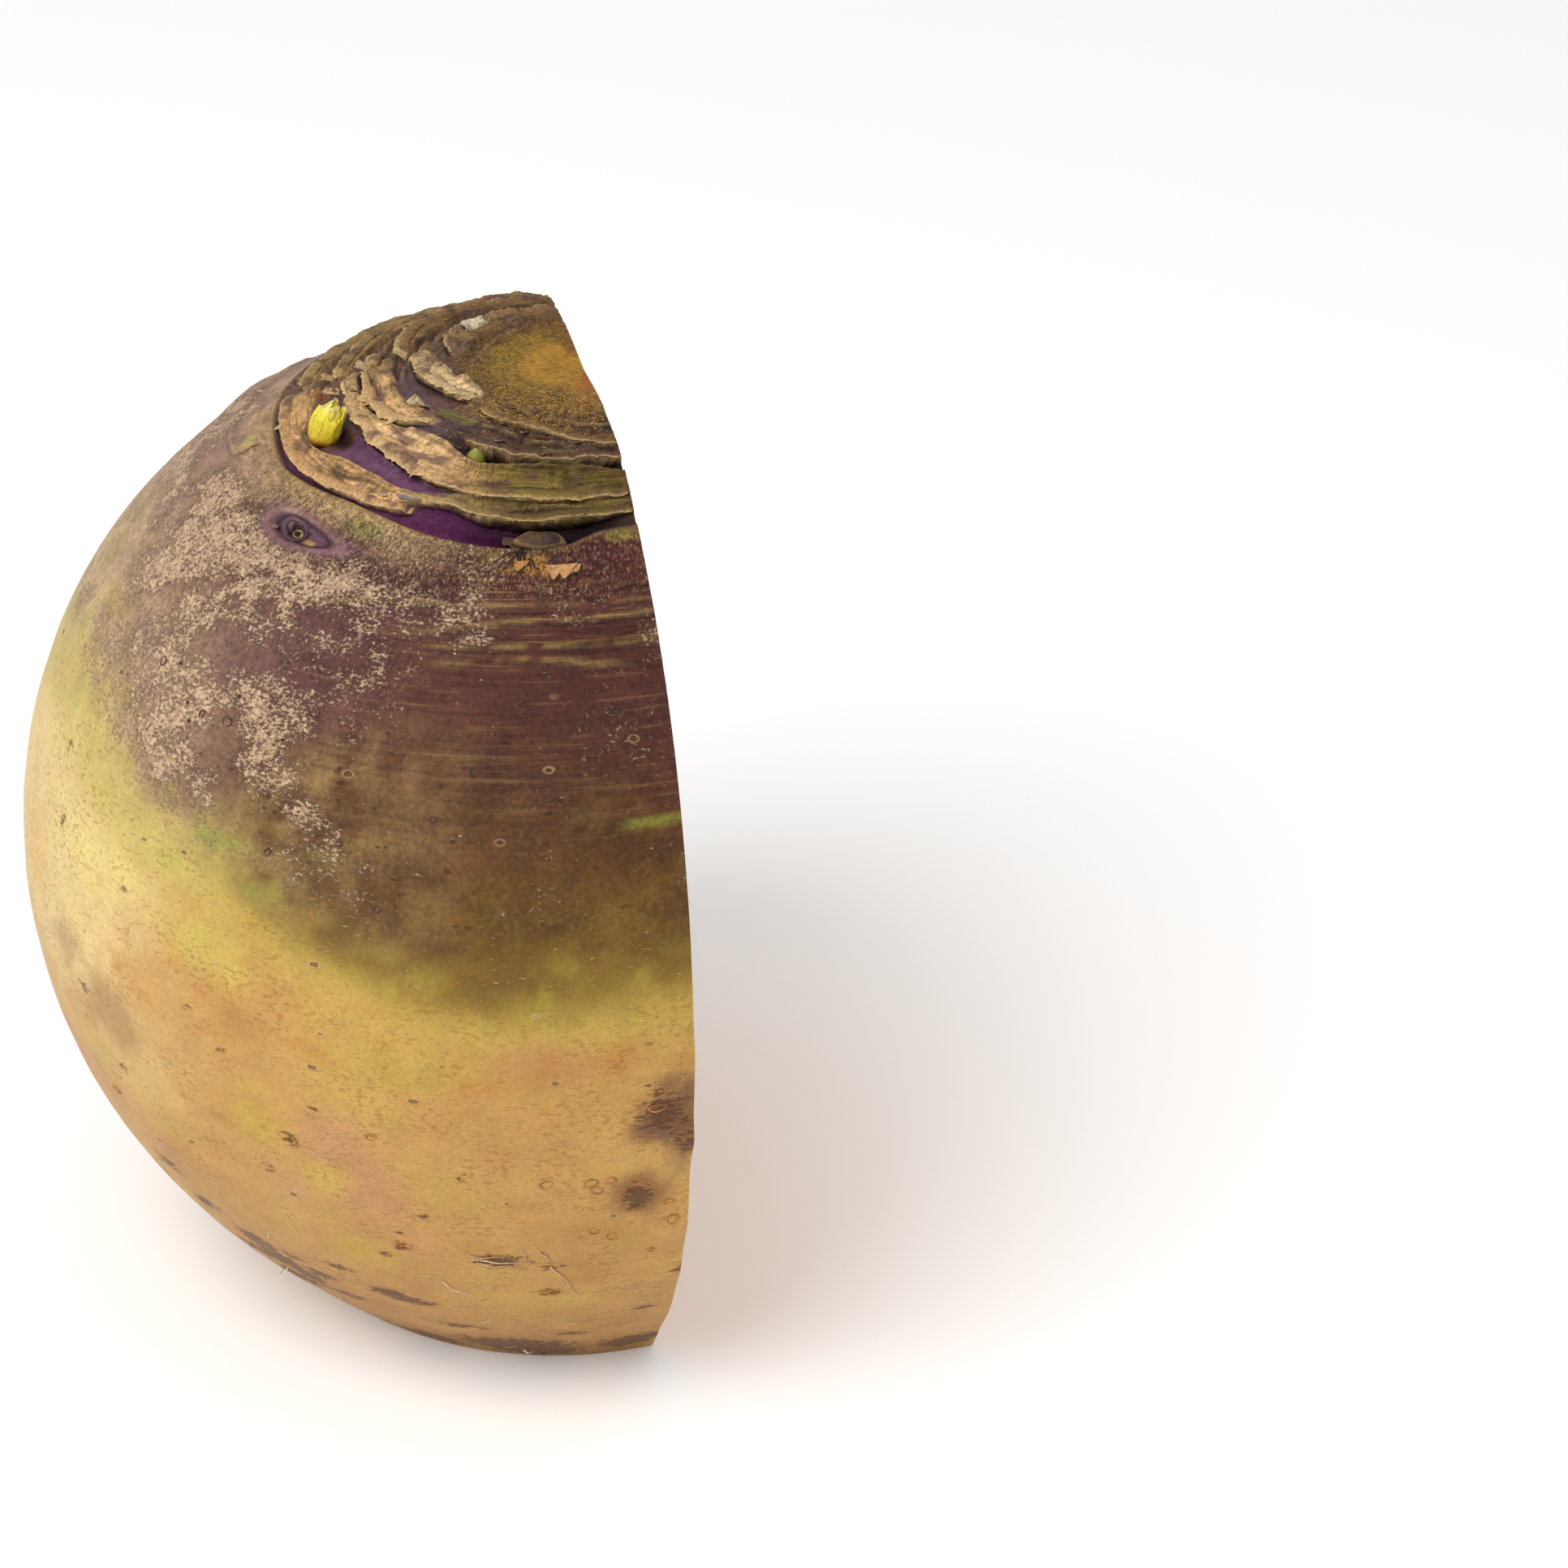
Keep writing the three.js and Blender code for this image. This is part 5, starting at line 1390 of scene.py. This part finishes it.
FIBRE_FIELDS = [  # how many, turn from and to, run from and to, length, width, lift and colour
    (1200, 1, 66, 8.0, 17.0, 0.6, 0.1, 0.12, (196, 154, 76)),
    (600, 55, 178, 6.5, 13.5, 0.6, 0.1, 0.12, (170, 136, 78)),
    (130, 0, 60, 17.0, 23.0, 0.9, 0.08, 0.12, (176, 144, 100)),
    (110, 0, 110, 34.5, 40, 0.7, 0.07, 0.06, (180, 150, 112)),
    (90, 40, 110, 19, 31, 0.6, 0.05, 0.10, (214, 196, 176)),
    (26, 20, 60, 134, 160, 2.0, 0.09, 0.2, (228, 206, 164))
]
ROOTLETS = [  # turn and run at each end, rise in mm, width in mm, colour
    (21.6, 36.8, 19.8, 39.2, -0.05, 0.4, (44, 26, 22)), (22, 36.6, 22.2, 39.4, -0.05, 0.5, (40, 24, 20)),
    (22.4, 36.8, 24.6, 39.2, -0.05, 0.4, (46, 28, 22)), (22.8, 36.8, 26.6, 38.0, -0.05, 0.36, (52, 32, 26)),
    (20.6, 37.8, 18.4, 39.0, -0.05, 0.3, (50, 30, 24)), (10.6, 36.0, 9.4, 38.4, 0.0, 0.26, (48, 26, 26)),
    (7.4, 35.2, 6.0, 37.4, 0.0, 0.24, (52, 30, 28)), (13.2, 36.4, 12.4, 38.6, 0.0, 0.24, (50, 28, 26)),
    (17.6, 127.4, 16.2, 130.4, 0.15, 0.3, (206, 164, 130)),
    (16.4, 131.2, 13.2, 138.8, 0.2, 0.22, (224, 182, 146)),
    (25.5, 129.6, 20.5, 130.2, 0.2, 0.24, (224, 186, 150)),
    (25.0, 130.4, 21.0, 130.8, 0.25, 0.2, (216, 170, 130)),
    (26.0, 128.8, 22.0, 129.0, 0.15, 0.2, (206, 160, 118)),
    (30.0, 135.8, 26.5, 139.4, 0.3, 0.16, (232, 206, 170)),
    (57.2, 146.0, 60.6, 149.0, 1.3, 0.26, (238, 226, 196)),
    (52.5, 133.8, 53.3, 135.4, 0.4, 0.12, (238, 222, 190)),
    (24.5, 160.6, 22.8, 161.6, 0.6, 0.3, (236, 222, 190)),
    (19.6, 127.6, 18.4, 130.6, 0.1, 0.2, (214, 170, 132)), (120, 140, 124, 143, 0.8, 0.2, (230, 210, 176)),
    (146, 134, 143, 139, 0.6, 0.2, (226, 200, 164)), (98, 150, 101, 154, 1.0, 0.22, (234, 216, 182))
]
FIBRE_TAPER = np.array([0.5, 1, 1, 0.9, 0.7, 0.3])  # width along a fibre


def fibres(seed, count, turn_from, turn_to, run_from, run_to, length, width, rise, colour):
    """Short threads laid on the skin in random directions, mostly round the root: each arches up
    between its two ends, bends sideways and has a three-sided section."""
    rng = np.random.default_rng(seed)
    steps = np.linspace(0, 1, len(FIBRE_TAPER))
    turn = rng.uniform(turn_from, turn_to, count)[:, None]
    run = rng.uniform(run_from, run_to, count)[:, None]
    stride = length * rng.uniform(0.5, 1.4, count)[:, None] / len(steps)
    heading = rng.normal(0.3, 0.9, count)[:, None] + rng.normal(0, 1.3, count)[:, None] * steps
    runs = run + np.cumsum(np.sin(heading), 1) * stride
    across = np.cumsum(np.cos(heading), 1) * stride
    turns = turn + np.degrees(across / np.maximum(np.interp(runs, RUN, RADIUS), 3))
    arch = rise * rng.uniform(0.1, 1.4, count)[:, None] * np.sin(np.pi * steps) - 0.02
    tone = shade(*colour) * rng.uniform(0.5, 1.15, count)[:, None, None, None]
    return threads_on(turns, runs, arch, width / 2 * FIBRE_TAPER, 3, 90, tone)


def rootlet(number, from_turn, from_run, to_turn, to_run, rise, width, colour):
    """One thread from the skin to a free or sunk end, arched and a little crooked."""
    share = np.linspace(0, 1, 12)
    crook = 0.25 * np.sin(np.pi * share) * np.sin(5 * share + number)
    turns = from_turn + (to_turn - from_turn) * share + crook
    runs = from_run + (to_run - from_run) * share + crook
    arch = rise * np.sin(np.pi * share) + 0.02
    return threads_on(turns, runs, arch, width / 2 * (1 - 0.6 * share**2), 5, 0, shade(*colour))


fibre_threads = [fibres(1200 + number, *one) for number, one in enumerate(FIBRE_FIELDS)]
rootlets = [rootlet(number, *one) for number, one in enumerate(ROOTLETS)]
threads = toned_piece("fibres", fibre_threads + rootlets, dry_leaf)
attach(threads, "root")
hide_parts("rutabaga_half")


# ---- Floor, light and camera --------------------------------------------------------------------
# A white paper sheet under the half, which stands on its trimmed end, a soft window-like light high
# on the left, a weak one on the right, and light all round.

floor_mesh = bpy.data.meshes.new("floor")
floor_mesh.from_pydata([(-6, -6, 0), (6, -6, 0), (6, 6, 0), (-6, 6, 0)], [], [(0, 1, 2, 3)])
floor = bpy.data.objects.new("floor", floor_mesh)
bpy.context.scene.collection.objects.link(floor)
white = bpy.data.materials.new("white_sheet")
white.use_nodes = True
paper = white.node_tree.nodes["Principled BSDF"].inputs
paper["Base Color"].default_value = (0.93, 0.93, 0.93, 1)
paper["Roughness"].default_value = 0.9
paper["Emission Color"].default_value = (1, 1, 1, 1)
paper["Emission Strength"].default_value = 0.1
floor_mesh.materials.append(white)

sky = bpy.data.worlds.new("studio")
sky.use_nodes = True
sky.node_tree.nodes["Background"].inputs["Color"].default_value = (1.0, 1.0, 1.0, 1)
sky.node_tree.nodes["Background"].inputs["Strength"].default_value = 0.62
bpy.context.scene.world = sky


def aimed(name, data, at, toward):
    """A lamp or camera placed at a point and turned to face another, in metres."""
    holder = bpy.data.objects.new(name, data)
    holder.location = at
    aim = Vector(toward) - Vector(at)
    holder.rotation_euler = aim.to_track_quat("-Z", "Y").to_euler()
    bpy.context.scene.collection.objects.link(holder)
    return holder


for name, at, watts in (("key", (-0.62, -0.5, 1.0), 12), ("fill", (0.9, -0.7, 0.7), 0.8)):
    lamp = bpy.data.lights.new(name, "AREA")
    lamp.size = 0.8
    lamp.energy = watts
    aimed(name, lamp, at, (0, 0, 0.05))

lens = bpy.data.cameras.new("camera")
lens.lens = 129.1
lens.sensor_width = 36
camera = aimed("camera", lens, (-0.0757, -0.6057, 0.3947), (0.0585, -0.0052, 0.0609))
bpy.context.scene.camera = camera
bpy.context.scene.view_settings.view_transform = "Standard"
